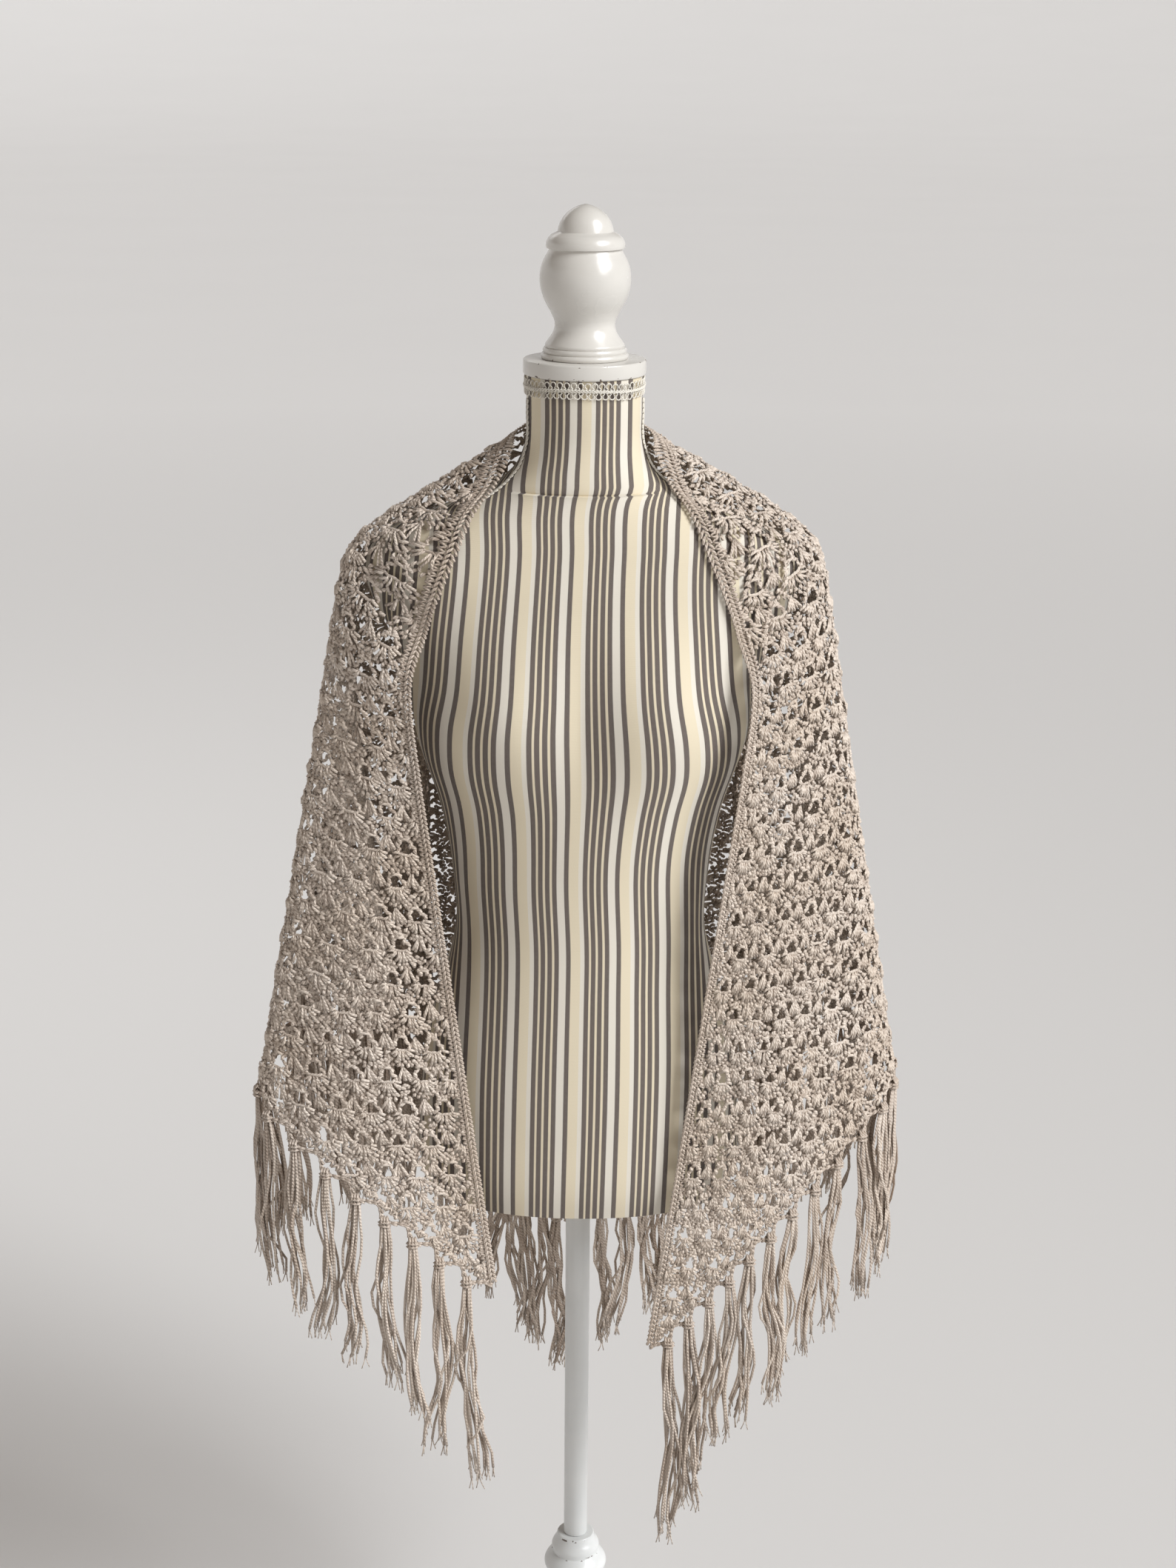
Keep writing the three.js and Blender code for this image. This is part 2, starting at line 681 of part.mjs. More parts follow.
addPiece('shawl_back', laceStretch(-backMotifs, backMotifs, 0, end), yarn);
addPiece('shawl_left_shoulder', laceStretch(-chestMotifs, -backMotifs, 0, frontMotifs), yarn);
addPiece('shawl_right_shoulder', laceStretch(backMotifs, chestMotifs, 0, frontMotifs), yarn);
addPiece('shawl_left_front', laceStretch(-end, -chestMotifs, 0, frontMotifs), yarn);
addPiece('shawl_right_front', laceStretch(chestMotifs, end, 0, frontMotifs), yarn);
addPiece('shawl_left_side', laceStretch(-end, -backMotifs, frontMotifs, end), yarn);
addPiece('shawl_right_side', laceStretch(backMotifs, end, frontMotifs, end), yarn);
addPiece('edging_left', edgingStretch(-end, 0), yarn);
addPiece('edging_right', edgingStretch(0, end), yarn);
addPiece('fringe_left_front', fringe(-1, end - frontMotifs, end), yarn);
addPiece('fringe_right_front', fringe(1, end - frontMotifs, end), yarn);
addPiece('fringe_left_side', fringe(-1, backMotifs, end - frontMotifs), yarn);
addPiece('fringe_right_side', fringe(1, backMotifs, end - frontMotifs), yarn);
addPiece('fringe_left_back', fringe(-1, 0, backMotifs), yarn);
addPiece('fringe_right_back', fringe(1, 0, backMotifs), yarn);

export default part;
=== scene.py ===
import math

import bpy
import numpy as np
from mathutils import Matrix, Vector


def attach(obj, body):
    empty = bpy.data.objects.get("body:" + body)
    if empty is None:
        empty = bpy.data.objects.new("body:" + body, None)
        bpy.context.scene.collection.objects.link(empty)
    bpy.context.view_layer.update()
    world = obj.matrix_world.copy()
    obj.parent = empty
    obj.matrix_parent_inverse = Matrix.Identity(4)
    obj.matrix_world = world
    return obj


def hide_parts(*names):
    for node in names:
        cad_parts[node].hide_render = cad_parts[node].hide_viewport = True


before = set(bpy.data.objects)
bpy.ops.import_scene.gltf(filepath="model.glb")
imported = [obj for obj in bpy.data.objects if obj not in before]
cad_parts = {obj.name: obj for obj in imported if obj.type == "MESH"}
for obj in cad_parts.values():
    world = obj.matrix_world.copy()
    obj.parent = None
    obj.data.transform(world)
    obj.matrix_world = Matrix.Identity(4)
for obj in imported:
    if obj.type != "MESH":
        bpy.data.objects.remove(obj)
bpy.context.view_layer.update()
print("frame loaded:", len(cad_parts), "solids")

# camera at the photograph's place, lens for a frame 36 high
cameraPlace = {"at": (0.006, -2.19, 1.679), "tilt": 17.0, "roll": 0.5, "lens": 58.3, "sensor": 36.0}


def placeCamera(place):
    data = bpy.data.cameras.new("shawlCamera")
    data.sensor_fit = "VERTICAL"
    data.sensor_height = place["sensor"]
    data.lens = place["lens"]
    camera = bpy.data.objects.new("shawlCamera", data)
    bpy.context.collection.objects.link(camera)
    aim = Matrix.Rotation(math.radians(90 - place["tilt"]), 4, "X")
    roll = Matrix.Rotation(math.radians(place["roll"]), 4, "Z")
    camera.matrix_world = Matrix.Translation(place["at"]) @ aim @ roll
    bpy.context.scene.camera = camera
    bpy.context.scene.view_settings.view_transform = "Standard"


placeCamera(cameraPlace)
print("camera placed")


# a socket that takes plain arithmetic
class Wire:
    def __init__(self, finish, socket):
        self.finish = finish
        self.socket = socket

    def maths(self, operation, *values):
        return self.finish.node("ShaderNodeMath", {"operation": operation}, dict(enumerate(values)))

    def __add__(self, other):
        return self.maths("ADD", self, other)

    def __radd__(self, other):
        return self.maths("ADD", other, self)

    def __sub__(self, other):
        return self.maths("SUBTRACT", self, other)

    def __rsub__(self, other):
        return self.maths("SUBTRACT", other, self)

    def __mul__(self, other):
        return self.maths("MULTIPLY", self, other)

    def __rmul__(self, other):
        return self.maths("MULTIPLY", other, self)

    def __truediv__(self, other):
        return self.maths("DIVIDE", self, other)

    def __mod__(self, other):
        return self.maths("FLOORED_MODULO", self, other)

    def __gt__(self, other):
        return self.maths("GREATER_THAN", self, other)

    def __lt__(self, other):
        return self.maths("LESS_THAN", self, other)

    def __abs__(self):
        return self.maths("ABSOLUTE", self)

    def sine(self):
        return self.maths("SINE", self)

    def kept(self, low=0.0, high=1.0):
        return self.maths("MAXIMUM", self.maths("MINIMUM", self, high), low)


class Finish:
    def __init__(self, name, shader):
        self.material = bpy.data.materials.new(name)
        self.material.use_nodes = True
        self.tree = self.material.node_tree
        self.shader = self.tree.nodes["Principled BSDF"]
        for socket, value in shader.items():
            self.feed(self.shader.inputs[socket], value)

    def feed(self, socket, value):
        if isinstance(value, Wire):
            self.tree.links.new(value.socket, socket)
        else:
            socket.default_value = value

    def node(self, kind, settings=None, inputs=None, output=0):
        node = self.tree.nodes.new(kind)
        for name, value in (settings or {}).items():
            setattr(node, name, value)
        for name, value in (inputs or {}).items():
            self.feed(node.inputs[name], value)
        return Wire(self, node.outputs[output])

    def mix(self, factor, first, second):
        return self.node("ShaderNodeMix", {"data_type": "RGBA"}, {0: factor, 6: first, 7: second}, 2)

    def apart(self, vector):
        split = self.node("ShaderNodeSeparateXYZ", None, {0: vector}).socket.node
        return [Wire(self, output) for output in split.outputs]

    def surfaceMap(self, name):
        return self.node("ShaderNodeUVMap", {"uv_map": name})

    def objectPlace(self):
        return self.node("ShaderNodeTexCoord", None, None, 3)

    def noise(self, vector, scale, detail=2.0, roughness=0.5):
        inputs = {"Vector": vector, "Scale": scale, "Detail": detail, "Roughness": roughness}
        return self.node("ShaderNodeTexNoise", None, inputs)

    def stretched(self, vector, scale):
        return self.node("ShaderNodeMapping", None, {"Vector": vector, "Scale": scale})

    def bump(self, height, strength, distance):
        inputs = {"Height": height, "Strength": strength, "Distance": distance}
        return self.node("ShaderNodeBump", None, inputs)

    def wear(self, values):
        for name, value in values.items():
            self.feed(self.shader.inputs[name], value)
        return self.material


# twisted cotton, millimetres along the strand and turns round it come from the strand's own map
cottonLook = {
    # deep: painted shade colour, towards which the yarn darkens where its tone is low
    "lit": (0.79, 0.70, 0.615, 1), "warm": (0.70, 0.595, 0.495, 1), "deep": (0.21, 0.135, 0.09, 1),
    "twistPitch": 3.4, "plies": 2, "twistShade": 0.12, "bumpDeep": 0.0005,
}


def cottonFinish(name, look):
    finish = Finish(name, {"Roughness": 0.6, "Sheen Weight": 0.15, "Sheen Roughness": 0.4})
    along, around, _ = finish.apart(finish.surfaceMap("strandMap"))
    # the tone attribute is each strand's own tone with a random spread, plus painted shade: darker low in
    # the cloth and under each strand, lighter on its top
    tone = finish.node("ShaderNodeAttribute", {"attribute_name": "tone"}, None, 2)
    place = finish.objectPlace()
    twist = ((along / look["twistPitch"] + around * look["plies"]) * (2 * math.pi)).sine()
    fuzz = finish.noise(place, 900.0, 2.0)
    patch = finish.noise(place, 14.0, 2.0)
    # painted shade: low tone and the grooves of the twist darken the yarn towards the deep colour; fuzz
    # noise varies it at random
    shade = (tone + twist * look["twistShade"] + (fuzz - 0.5) * 0.3).kept()
    tinted = finish.mix((patch * 2.4 - 0.7).kept(), look["lit"], look["warm"])
    colour = finish.mix(shade, look["deep"], tinted)
    relief = finish.bump(twist * 0.5 + fuzz * 0.4, 0.7, look["bumpDeep"])
    return finish.wear({"Base Color": colour, "Normal": relief, "Roughness": 0.52 + fuzz * 0.2})


# striped ticking, the map gives millimetres round from the middle of the front and up from the foot
tickingLook = {
    "cream": (0.76, 0.675, 0.505, 1), "pale": (0.77, 0.73, 0.65, 1),
    "dark": (0.10, 0.08, 0.07, 1), "speck": (0.30, 0.255, 0.225, 1),
    "repeat": 46.7, "start": 6.5, "wander": 1.2,
    "darkBands": [(0.0, 4.2), (6.1, 10.3), (12.4, 16.6), (18.8, 23.0), (29.7, 33.9)],
    "paleBands": [(23.0, 29.7), (42.8, 46.7)],
    "twillPitch": 1.5,
}


def tickingFinish(name, look):
    finish = Finish(name, {"Roughness": 0.85, "Sheen Weight": 0.1})
    cover = finish.surfaceMap("coverMap")
    across, up, _ = finish.apart(cover)
    drift = finish.noise(finish.stretched(cover, (0.012, 0.006, 1.0)), 1.0, 1.0)
    ragged = finish.noise(cover, 1.3, 1.0)
    moved = across - look["start"] + (drift - 0.5) * look["wander"] + (ragged - 0.5) * 0.5
    step = moved % look["repeat"]
    dark = sum((step > low) * (step < high) for low, high in look["darkBands"])
    pale = sum((step > low) * (step < high) for low, high in look["paleBands"])
    twill = ((across + up) * (2 * math.pi / look["twillPitch"])).sine()
    grain = finish.noise(finish.stretched(cover, (1.1, 0.35, 1.0)), 1.0, 2.0)
    thread = ((up * (2 * math.pi / 0.9)).sine() + 1.0) * 0.5
    darkCloth = finish.mix((twill * 0.45 + grain * 0.8 - 0.28).kept(), look["dark"], look["speck"])
    lightCloth = finish.mix(pale, look["cream"], look["pale"])
    worn = finish.mix((grain * 0.5 + thread * 0.12).kept(), lightCloth, (0.66, 0.58, 0.45, 1))
    lightWorn = finish.mix(0.45, lightCloth, worn)
    colour = finish.mix(dark, lightWorn, darkCloth)
    relief = finish.bump(twill * dark * 0.5 + thread * 0.4 + grain * 0.4, 0.35, 0.0004)
    return finish.wear({"Base Color": colour, "Normal": relief})


# gimp cord; its deep colour is painted shade, as with the cotton
gimpLook = {
    "lit": (0.88, 0.85, 0.78, 1), "warm": (0.82, 0.77, 0.67, 1), "deep": (0.45, 0.39, 0.31, 1),
    "twistPitch": 1.7, "plies": 2, "twistShade": 0.16, "bumpDeep": 0.0003,
}

# white paint, worn along the heights given, in metres
finialLook = {
    "paint": (0.69, 0.665, 0.62, 1), "cool": (0.635, 0.62, 0.585, 1), "under": (0.10, 0.065, 0.045, 1),
    "rough": 0.2, "wornAt": [(1.3925, 0.0011), (1.3905, 0.0010), (1.3795, 0.0011)],
    "wornFrom": 0.60,
}
standLook = {
    "paint": (0.78, 0.79, 0.78, 1), "cool": (0.70, 0.72, 0.72, 1), "under": (0.16, 0.13, 0.11, 1),
    "rough": 0.3, "wornAt": [(0.2345, 0.0014), (0.2165, 0.0014)],
    "wornFrom": 0.58,
}


def paintFinish(name, look):
    finish = Finish(name, {"Coat Roughness": 0.12, "Coat Weight": 0.25})
    place = finish.objectPlace()
    _, _, height = finish.apart(place)
    mottle = finish.noise(place, 22.0, 3.0)
    brush = finish.noise(finish.stretched(place, (60.0, 60.0, 420.0)), 1.0, 2.0)
    ragged = finish.noise(place, 95.0, 3.0, 0.7)
    worn = sum((1.0 - abs(height - at) / reach).kept() for at, reach in look["wornAt"])
    chipped = (worn > 0.15) * (ragged > look["wornFrom"])
    painted = finish.mix((mottle * 1.6 - 0.4).kept(), look["paint"], look["cool"])
    colour = finish.mix(chipped, painted, look["under"])
    rough = look["rough"] + mottle * 0.12 + chipped * 0.45
    relief = finish.bump(brush * 0.35 + mottle * 0.4 - chipped, 0.22, 0.0007)
    return finish.wear({"Base Color": colour, "Roughness": rough, "Normal": relief})


# pale studio floor, with painted shade that greys it near the stand
floorLook = {
    "pale": (0.93, 0.922, 0.912, 1), "shade": (0.90, 0.892, 0.882, 1),
    "near": (0.77, 0.762, 0.752, 1), "reach": 9.0,  # painted shade: a little greyer within this reach of the stand
}


def floorFinish(name, look):
    finish = Finish(name, {"Roughness": 0.8})
    place = finish.objectPlace()
    cloud = finish.noise(place, 0.6, 2.0)
    x, y, _ = finish.apart(place)
    far = ((x * x + y * y) / look["reach"] ** 2).kept()
    # painted shade: greyer near the stand, paler further off, with a cloud of random tone
    colour = finish.mix(far, look["near"], finish.mix(cloud, look["pale"], look["shade"]))
    return finish.wear({"Base Color": colour, "Roughness": 0.75 + cloud * 0.1})


cotton = cottonFinish("shawlCotton", cottonLook)
ticking = tickingFinish("formTicking", tickingLook)
gimp = cottonFinish("gimpCord", gimpLook)
finialPaint = paintFinish("finialPaint", finialLook)
standPaint = paintFinish("standPaint", standLook)
floorPaint = floorFinish("floorPaint", floorLook)
print("finishes made")

# the dress form in millimetres: height, half width, depth to the front, depth to the back
form = {
    "roundness": 2.15,
    "bust": {"height": 1092, "proud": 20, "spread": 62, "turn": 34, "turnSpread": 22},
    "rows": [
        (620, 141, 86, 92), (634, 146, 91, 97), (700, 148, 95, 101), (780, 138, 91, 92),
        (830, 125, 87, 82), (876, 114, 84, 77), (930, 116, 86, 79), (990, 126, 93, 86),
        (1060, 148, 101, 93), (1110, 155, 102, 97), (1150, 168, 98, 99), (1185, 186, 91, 97),
        (1208, 194, 86, 94), (1224, 191, 81, 90), (1238, 176, 77, 86), (1252, 148, 72, 80),
        (1266, 112, 66, 73), (1280, 82, 60, 66), (1296, 62, 55, 58), (1316, 52, 50, 52),
        (1350, 50, 50, 50), (1378, 50, 50, 50),
    ],
    "sides": 144, "ringStep": 6.0,
    "tuck": {"height": 1282.0, "deep": 2.6, "reach": 2.6, "lip": 2.2, "halfTurn": 62.0},
    # how far the cover is stretched across the front, and how far its middle stands off, by height
    "stretch": [
        (620, 0.98), (746, 0.99), (850, 0.96), (920, 0.965), (970, 0.975), (1005, 1.02),
        (1040, 1.095), (1075, 1.09), (1117, 1.02), (1156, 0.99), (1233, 0.95), (1262, 0.965),
        (1281, 0.985), (1283, 0.995), (1296, 0.985), (1312, 0.945), (1330, 0.93), (1378, 0.93),
    ],
    "middle": [
        (620, -5.5), (700, -4.1), (830, -2.4), (874, -2.2), (940, -4.6), (1037, -2.1), (1100, -3.4),
        (1195, -2.9), (1233, -1.3), (1281, 1.4), (1283, 2.0), (1300, 2.9), (1330, 4.0), (1378, 4.0),
    ],
}


def curveThrough(at, value):
    at, value = np.array(at, float), np.array(value, float)
    step = np.diff(at)
    rise = np.diff(value) / step
    inner = (rise[:-1] * step[1:] + rise[1:] * step[:-1]) / (step[:-1] + step[1:])
    slope = np.concatenate([rise[:1], inner, rise[-1:]])

    def curve(t):
        inside = np.clip(t, at[0], at[-1])
        k = np.clip(np.searchsorted(at, inside, side="right") - 1, 0, len(step) - 1)
        s = (inside - at[k]) / step[k]
        swing = step[k] * s * (1 - s) * (slope[k] * (1 - s) - slope[k + 1] * s)
        past = np.minimum(t - at[0], 0) * slope[0] + np.maximum(t - at[-1], 0) * slope[-1]
        return value[k] + (value[k + 1] - value[k]) * s * s * (3 - 2 * s) + swing + past

    return curve


formHeights, *formReaches = zip(*form["rows"])
formWide, formFront, formBack = (curveThrough(formHeights, reaches) for reaches in formReaches)


def formRadius(turn, z):
    bust, n = form["bust"], form["roundness"]
    z = np.maximum(z, 500.0)
    across = np.abs(np.cos(turn)) / formWide(z)
    along = np.abs(np.sin(turn)) / np.where(np.sin(turn) < 0, formFront(z), formBack(z))
    plain = (across ** n + along ** n) ** (-1 / n)
    fromFront = np.degrees(np.abs(np.arctan2(np.cos(turn), -np.sin(turn))))
    rounded = np.exp(-(((fromFront - bust["turn"]) / bust["turnSpread"]) ** 2))
    high = np.exp(-(((z - bust["height"]) / bust["spread"]) ** 2))
    return plain + bust["proud"] * rounded * high


def offForm(points):
    x, y, z = points[..., 0], points[..., 1], points[..., 2]
    return np.hypot(x, y) - formRadius(np.arctan2(y, x), z)


def formGradient(points):
    reach = 0.5
    steps = np.eye(3) * reach
    slopes = [(offForm(points + step) - offForm(points - step)) / (2 * reach) for step in steps]
    return np.stack(slopes, -1)


def deselectAll():
    if bpy.context.object and bpy.context.object.mode != "OBJECT":
        bpy.ops.object.mode_set(mode="OBJECT")
    bpy.ops.object.select_all(action="DESELECT")


def dress(piece, name, material, nodes):
    piece.name = name
    piece.data.name = name
    piece.data.materials.clear()
    piece.data.materials.append(material)
    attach(piece, "root")
    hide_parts(*nodes)
    return piece


# padded torso: a cylinder cut into rings, each ring drawn in to the form's outline
def makeTorso():
    low, high = formHeights[0], formHeights[-1]
    deselectAll()
    bpy.ops.mesh.primitive_cylinder_add(
        vertices=form["sides"], radius=0.1, depth=(high - low) / 1000,
        location=(0, 0, (high + low) / 2000), end_fill_type="NGON")
    torso = bpy.context.object
    bpy.ops.object.transform_apply(location=True, rotation=True, scale=True)
    tuck = form["tuck"]
    cuts = list(np.arange(low + 3, high - 2, form["ringStep"]))
    cuts += [tuck["height"] + d for d in (-2.4, -1.2, -0.4, 0.3, 1.0, 2.0)]
    bpy.ops.object.mode_set(mode="EDIT")
    for z in sorted(cuts):
        bpy.ops.mesh.select_all(action="SELECT")
        bpy.ops.mesh.bisect(plane_co=(0, 0, z / 1000), plane_no=(0, 0, 1))
    bpy.ops.mesh.select_all(action="SELECT")
    bpy.ops.mesh.remove_doubles(threshold=0.00005)
    bpy.ops.object.mode_set(mode="OBJECT")
    mesh = torso.data
    points = np.empty(len(mesh.vertices) * 3)
    mesh.vertices.foreach_get("co", points)
    points = points.reshape(-1, 3) * 1000
    turn, z = np.arctan2(points[:, 1], points[:, 0]), points[:, 2]
    radius = formRadius(turn, z)
    fromFront = np.degrees(np.abs(np.arctan2(np.cos(turn), -np.sin(turn))))
    fade = np.clip((tuck["halfTurn"] - fromFront) / 15, 0, 1)
    above = (z - tuck["height"]) / tuck["reach"]
    sunk, raised = -tuck["deep"] * np.exp(-above * 1.2), tuck["lip"] * np.exp(above * 0.6)
    radius += fade * np.where(above > 0, sunk, raised)
    shaped = np.stack([radius * np.cos(turn), radius * np.sin(turn), z], -1) / 1000
    mesh.vertices.foreach_set("co", shaped.ravel())
    mesh.update()
    # lay the cover: millimetres of cloth round each ring from the middle of the front
    rounds = np.radians(np.linspace(0, 180, 181))
    facing = np.clip((95 - np.linspace(0.5, 179.5, 180)) / 35, 0, 1)
    stretch, middle = (curveThrough(*np.array(form[name]).T) for name in ("stretch", "middle"))
    corners = np.empty(len(mesh.loops), int)
    mesh.loops.foreach_get("vertex_index", corners)
    measured = np.zeros(len(points))
    for level in np.unique(np.round(z, 2)):
        ring = np.abs(z - level) < 0.02
        sweep = formRadius(rounds - math.pi / 2, np.full(181, level))
        across, along = np.diff(sweep * np.sin(rounds)), np.diff(sweep * np.cos(rounds))
        pull = 1 + (1 / stretch(level) - 1) * facing
        steps = (across * facing + np.hypot(across, along) * (1 - facing)) * pull
        length = np.concatenate([[0], np.cumsum(steps)])
        measured[ring] = np.interp(fromFront[ring], np.degrees(rounds), length)
    measured *= np.where(points[:, 0] < 0, -1, 1)
    offset = middle(z) * np.clip((150 - fromFront) / 60, 0, 1)
    cover = np.stack([(measured - offset)[corners], z[corners]], -1)
    seam = np.abs(measured[corners])
    faces = np.empty(len(mesh.polygons), int)
    mesh.polygons.foreach_get("loop_start", faces)
    for start, total in zip(faces, [len(p.vertices) for p in mesh.polygons]):
        part = cover[start:start + total, 0]
        if total == 4 and part.max() - part.min() > 60:  # keep the back seam's faces on one side
            cover[start:start + total, 0] = np.where(part < 0, seam[start:start + total], part)
    layer = mesh.uv_layers.new(name="coverMap")
    layer.uv.foreach_set("vector", cover.ravel())
    mesh.uv_layers.active = layer
    deselectAll()
    torso.select_set(True)
    bpy.context.view_layer.objects.active = torso
    bpy.ops.object.shade_smooth_by_angle(angle=math.radians(50))
    return torso


torso = dress(makeTorso(), "formTorso", ticking, ["form_torso"])
print("torso made")


# a turned piece: a disc drawn up ring by ring along its profile of radius and height
def turnPiece(profile, sides):
    deselectAll()
    radius, z = profile[0]
    bpy.ops.mesh.primitive_circle_add(
        vertices=sides, radius=radius / 1000, location=(0, 0, z / 1000), fill_type="NGON")
    piece = bpy.context.object
    bpy.ops.object.transform_apply(location=True, rotation=True, scale=True)
    bpy.ops.object.mode_set(mode="EDIT")
    bpy.ops.mesh.select_all(action="SELECT")
    for nextRadius, nextZ in profile[1:]:
        rise = (0, 0, (nextZ - z) / 1000)
        bpy.ops.mesh.extrude_region_move(TRANSFORM_OT_translate={"value": rise})
        share = nextRadius / radius
        bpy.ops.transform.resize(value=(share, share, 1), center_override=(0, 0, nextZ / 1000))
        radius, z = nextRadius, nextZ
    bpy.ops.mesh.select_all(action="SELECT")
    bpy.ops.mesh.normals_make_consistent(inside=False)
    bpy.ops.object.mode_set(mode="OBJECT")
    bpy.ops.object.shade_smooth_by_angle(angle=math.radians(35))
    return piece


def bulge(z0, r0, z1, r1, proud, steps):
    shares = np.linspace(0, 1, steps + 1)
    return [(r0 + (r1 - r0) * s + proud * math.sin(math.pi * s), z0 + (z1 - z0) * s) for s in shares]


def softly(points, steps):
    heights = [z for _, z in points]
    curve = curveThrough(heights, [r for r, _ in points])
    return [(float(curve(z)), float(z)) for z in np.linspace(heights[0], heights[-1], steps)]


# heights are from the foot of each piece, in millimetres
finial = {
    "foot": 1391.8, "sides": 72,
    "rings": [(0.0, 36.9, 4.6, 36.7, 1.1), (4.9, 35.4, 9.2, 35.1, 0.9), (9.5, 33.6, 13.4, 33.1, 0.9)],
    "body": [
        (32.0, 15), (27.6, 21.5), (25.8, 29), (28.5, 37), (34.5, 48), (38.4, 60), (38.9, 70),
        (36.5, 81), (31.3, 91),
    ],
    "cap": [
        (31.0, 92.2), (33.3, 92.6), (33.8, 94.4), (33.4, 97.8), (31.8, 101.2), (28.8, 104),
        (24.8, 105.9),
    ],
    "dome": [
        (23.9, 106.4), (23.2, 109.8), (21.8, 114), (19.4, 118), (15.9, 122), (11, 125.5),
        (6, 127.8), (1, 129),
    ],
}
neckCap = {"low": 1378.3, "top": 1391.5, "radius": 53.0, "edge": 1.6, "sides": 96}
pole = {"low": 236.3, "top": 619.7, "radius": 11.5, "edge": 0.6, "sides": 48}
hub = {
    "foot": 22.3, "sides": 64, "lip": [(43.0, 0.0), (43.6, 1.0)], "bead": (2.7, 42, 20.7, 38, 4),
    "stem": [(33.5, 22.5), (28.5, 32), (25, 60)], "vase": (66, 26, 167.7, 26, 10), "groove": [(24, 171.7)],
    "ring": (175.7, 29, 189.7, 27, 2.5), "neck": [(22.5, 193.7)], "collar": (195.7, 22.5, 205.7, 21, 1.5),
    "top": [(18.5, 208.7), (18, 213.1), (17.4, 213.7)],
}
base = {
    "radius": 170.0, "sides": 96, "foot": [(-2, 0.0), (-0.6, 0.6), (0, 2.0), (0, 10.0)],
    "edge": (11.0, -1, 20.0, -12, 3), "top": [(-16, 21.5), (-20, 22.0)],
}


def finialProfile(spec):
    profile = []
    for ring in spec["rings"]:
        profile += bulge(*ring, 6)
    profile += softly(spec["body"], 26) + spec["cap"] + spec["dome"]
    return [(r, spec["foot"] + z) for r, z in profile]


def rimProfile(spec):
    low, top, edge = spec["low"], spec["top"], spec["edge"]
    inner = spec["radius"] - edge
    turns = np.radians(np.linspace(0, 90, 5))
    lower = [(inner + edge * math.sin(t), low + edge - edge * math.cos(t)) for t in turns]
    return lower + [(inner + edge * math.cos(t), top - edge + edge * math.sin(t)) for t in turns]


def hubProfile(spec):
    profile = spec["lip"] + bulge(*spec["bead"], 8) + softly(spec["stem"], 10)
    profile += bulge(*spec["vase"], 14) + spec["groove"] + bulge(*spec["ring"], 8) + spec["neck"]
    profile += bulge(*spec["collar"], 6) + spec["top"]
    return [(r, spec["foot"] + z) for r, z in profile]


def baseProfile(spec):
    profile = spec["foot"] + bulge(*spec["edge"], 8) + spec["top"]
    return [(spec["radius"] + r, z) for r, z in profile]


turned = {
    "finial": ("finialTurned", finialProfile(finial), finial["sides"], finialPaint, "finial_paint"),
    "neck_cap": ("neckDisc", rimProfile(neckCap), neckCap["sides"], finialPaint, "finial_paint"),
    "pole": ("standPole", rimProfile(pole), pole["sides"], standPaint, "stand_paint"),
    "hub": ("standHub", hubProfile(hub), hub["sides"], standPaint, "stand_paint"),
    "base": ("standBase", baseProfile(base), base["sides"], standPaint, "stand_paint"),
}
for node, (name, profile, count, paint, slot) in turned.items():
    dress(turnPiece(profile, count), name, paint, [node])
print("finial and stand made")

# how the shawl hangs, in millimetres, the same lines as its solids
drape = {
    "halfLong": 934.0, "deep": 840.0, "edging": 7.5, "seam": 0.3, "motifs": 22,
    "slipAtNeck": 32.0, "slipAtPoint": -15.0, "offForm": 3.4, "easing": 4.0,
    "neckRadius": 57.0, "neckStart": math.radians(-20), "neckHeight": 1324.0, "neckRise": 12.0,
    "lowLength": 600.0, "shoulderRounding": 20.0, "foldRounding": 4.0, "foldTurn": 5.0,
    "panelTurn": 16.0, "panelRidge": 18.0, "panelSpread": 9.0, "leastDrop": 0.1,
    # angle on the flat cloth, shoulder break x and y, run over the shoulder, low place x and y
    "lines": [
        (0, 150, -84, 226, 99, -92), (9, 184, -66, 208, 192, -94), (18, 211, -27, 186, 303, -39),
        (31, 218, 6, 187, 153, 8), (44, 188, 52, 186, 294, 64), (57, 148, 84, 184, 118, 94),
        (68, 108, 106, 186, 242, 156), (79, 54, 113, 186, 114, 155), (90, 0, 115, 186, 0, 128),
    ],
    "grid": 4.0,
}
motifAcross = drape["halfLong"] / drape["motifs"]
motifDown = (drape["deep"] - drape["edging"] - drape["seam"]) / drape["motifs"]
laceTop = drape["edging"] + drape["seam"]


def roundedThrough(at, value, reach):
    before = value[0] - (value[1] - value[0]) / (at[1] - at[0]) * 30
    after = value[-1] + (value[-1] - value[-2]) / (at[-1] - at[-2]) * 30
    at = np.concatenate([[at[0] - 30], at, [at[-1] + 30]])
    value = np.concatenate([[before], value, [after]])
    spots = (np.arange(16) + 0.5) / 8 - 1
    return lambda t: sum(np.interp(t + reach * spot, at, value) for spot in spots) / len(spots)


def hangingCurves():
    lines = np.array(drape["lines"], float)
    behind = lines[-2::-1] * np.array([-1, -1, 1, 1, -1, 1])
    behind[:, 0] += 180
    rows = np.concatenate([lines, behind])
    return [roundedThrough(rows[:, 0], rows[:, k], drape["foldRounding"]) for k in range(1, 6)]


lineCurves = hangingCurves()


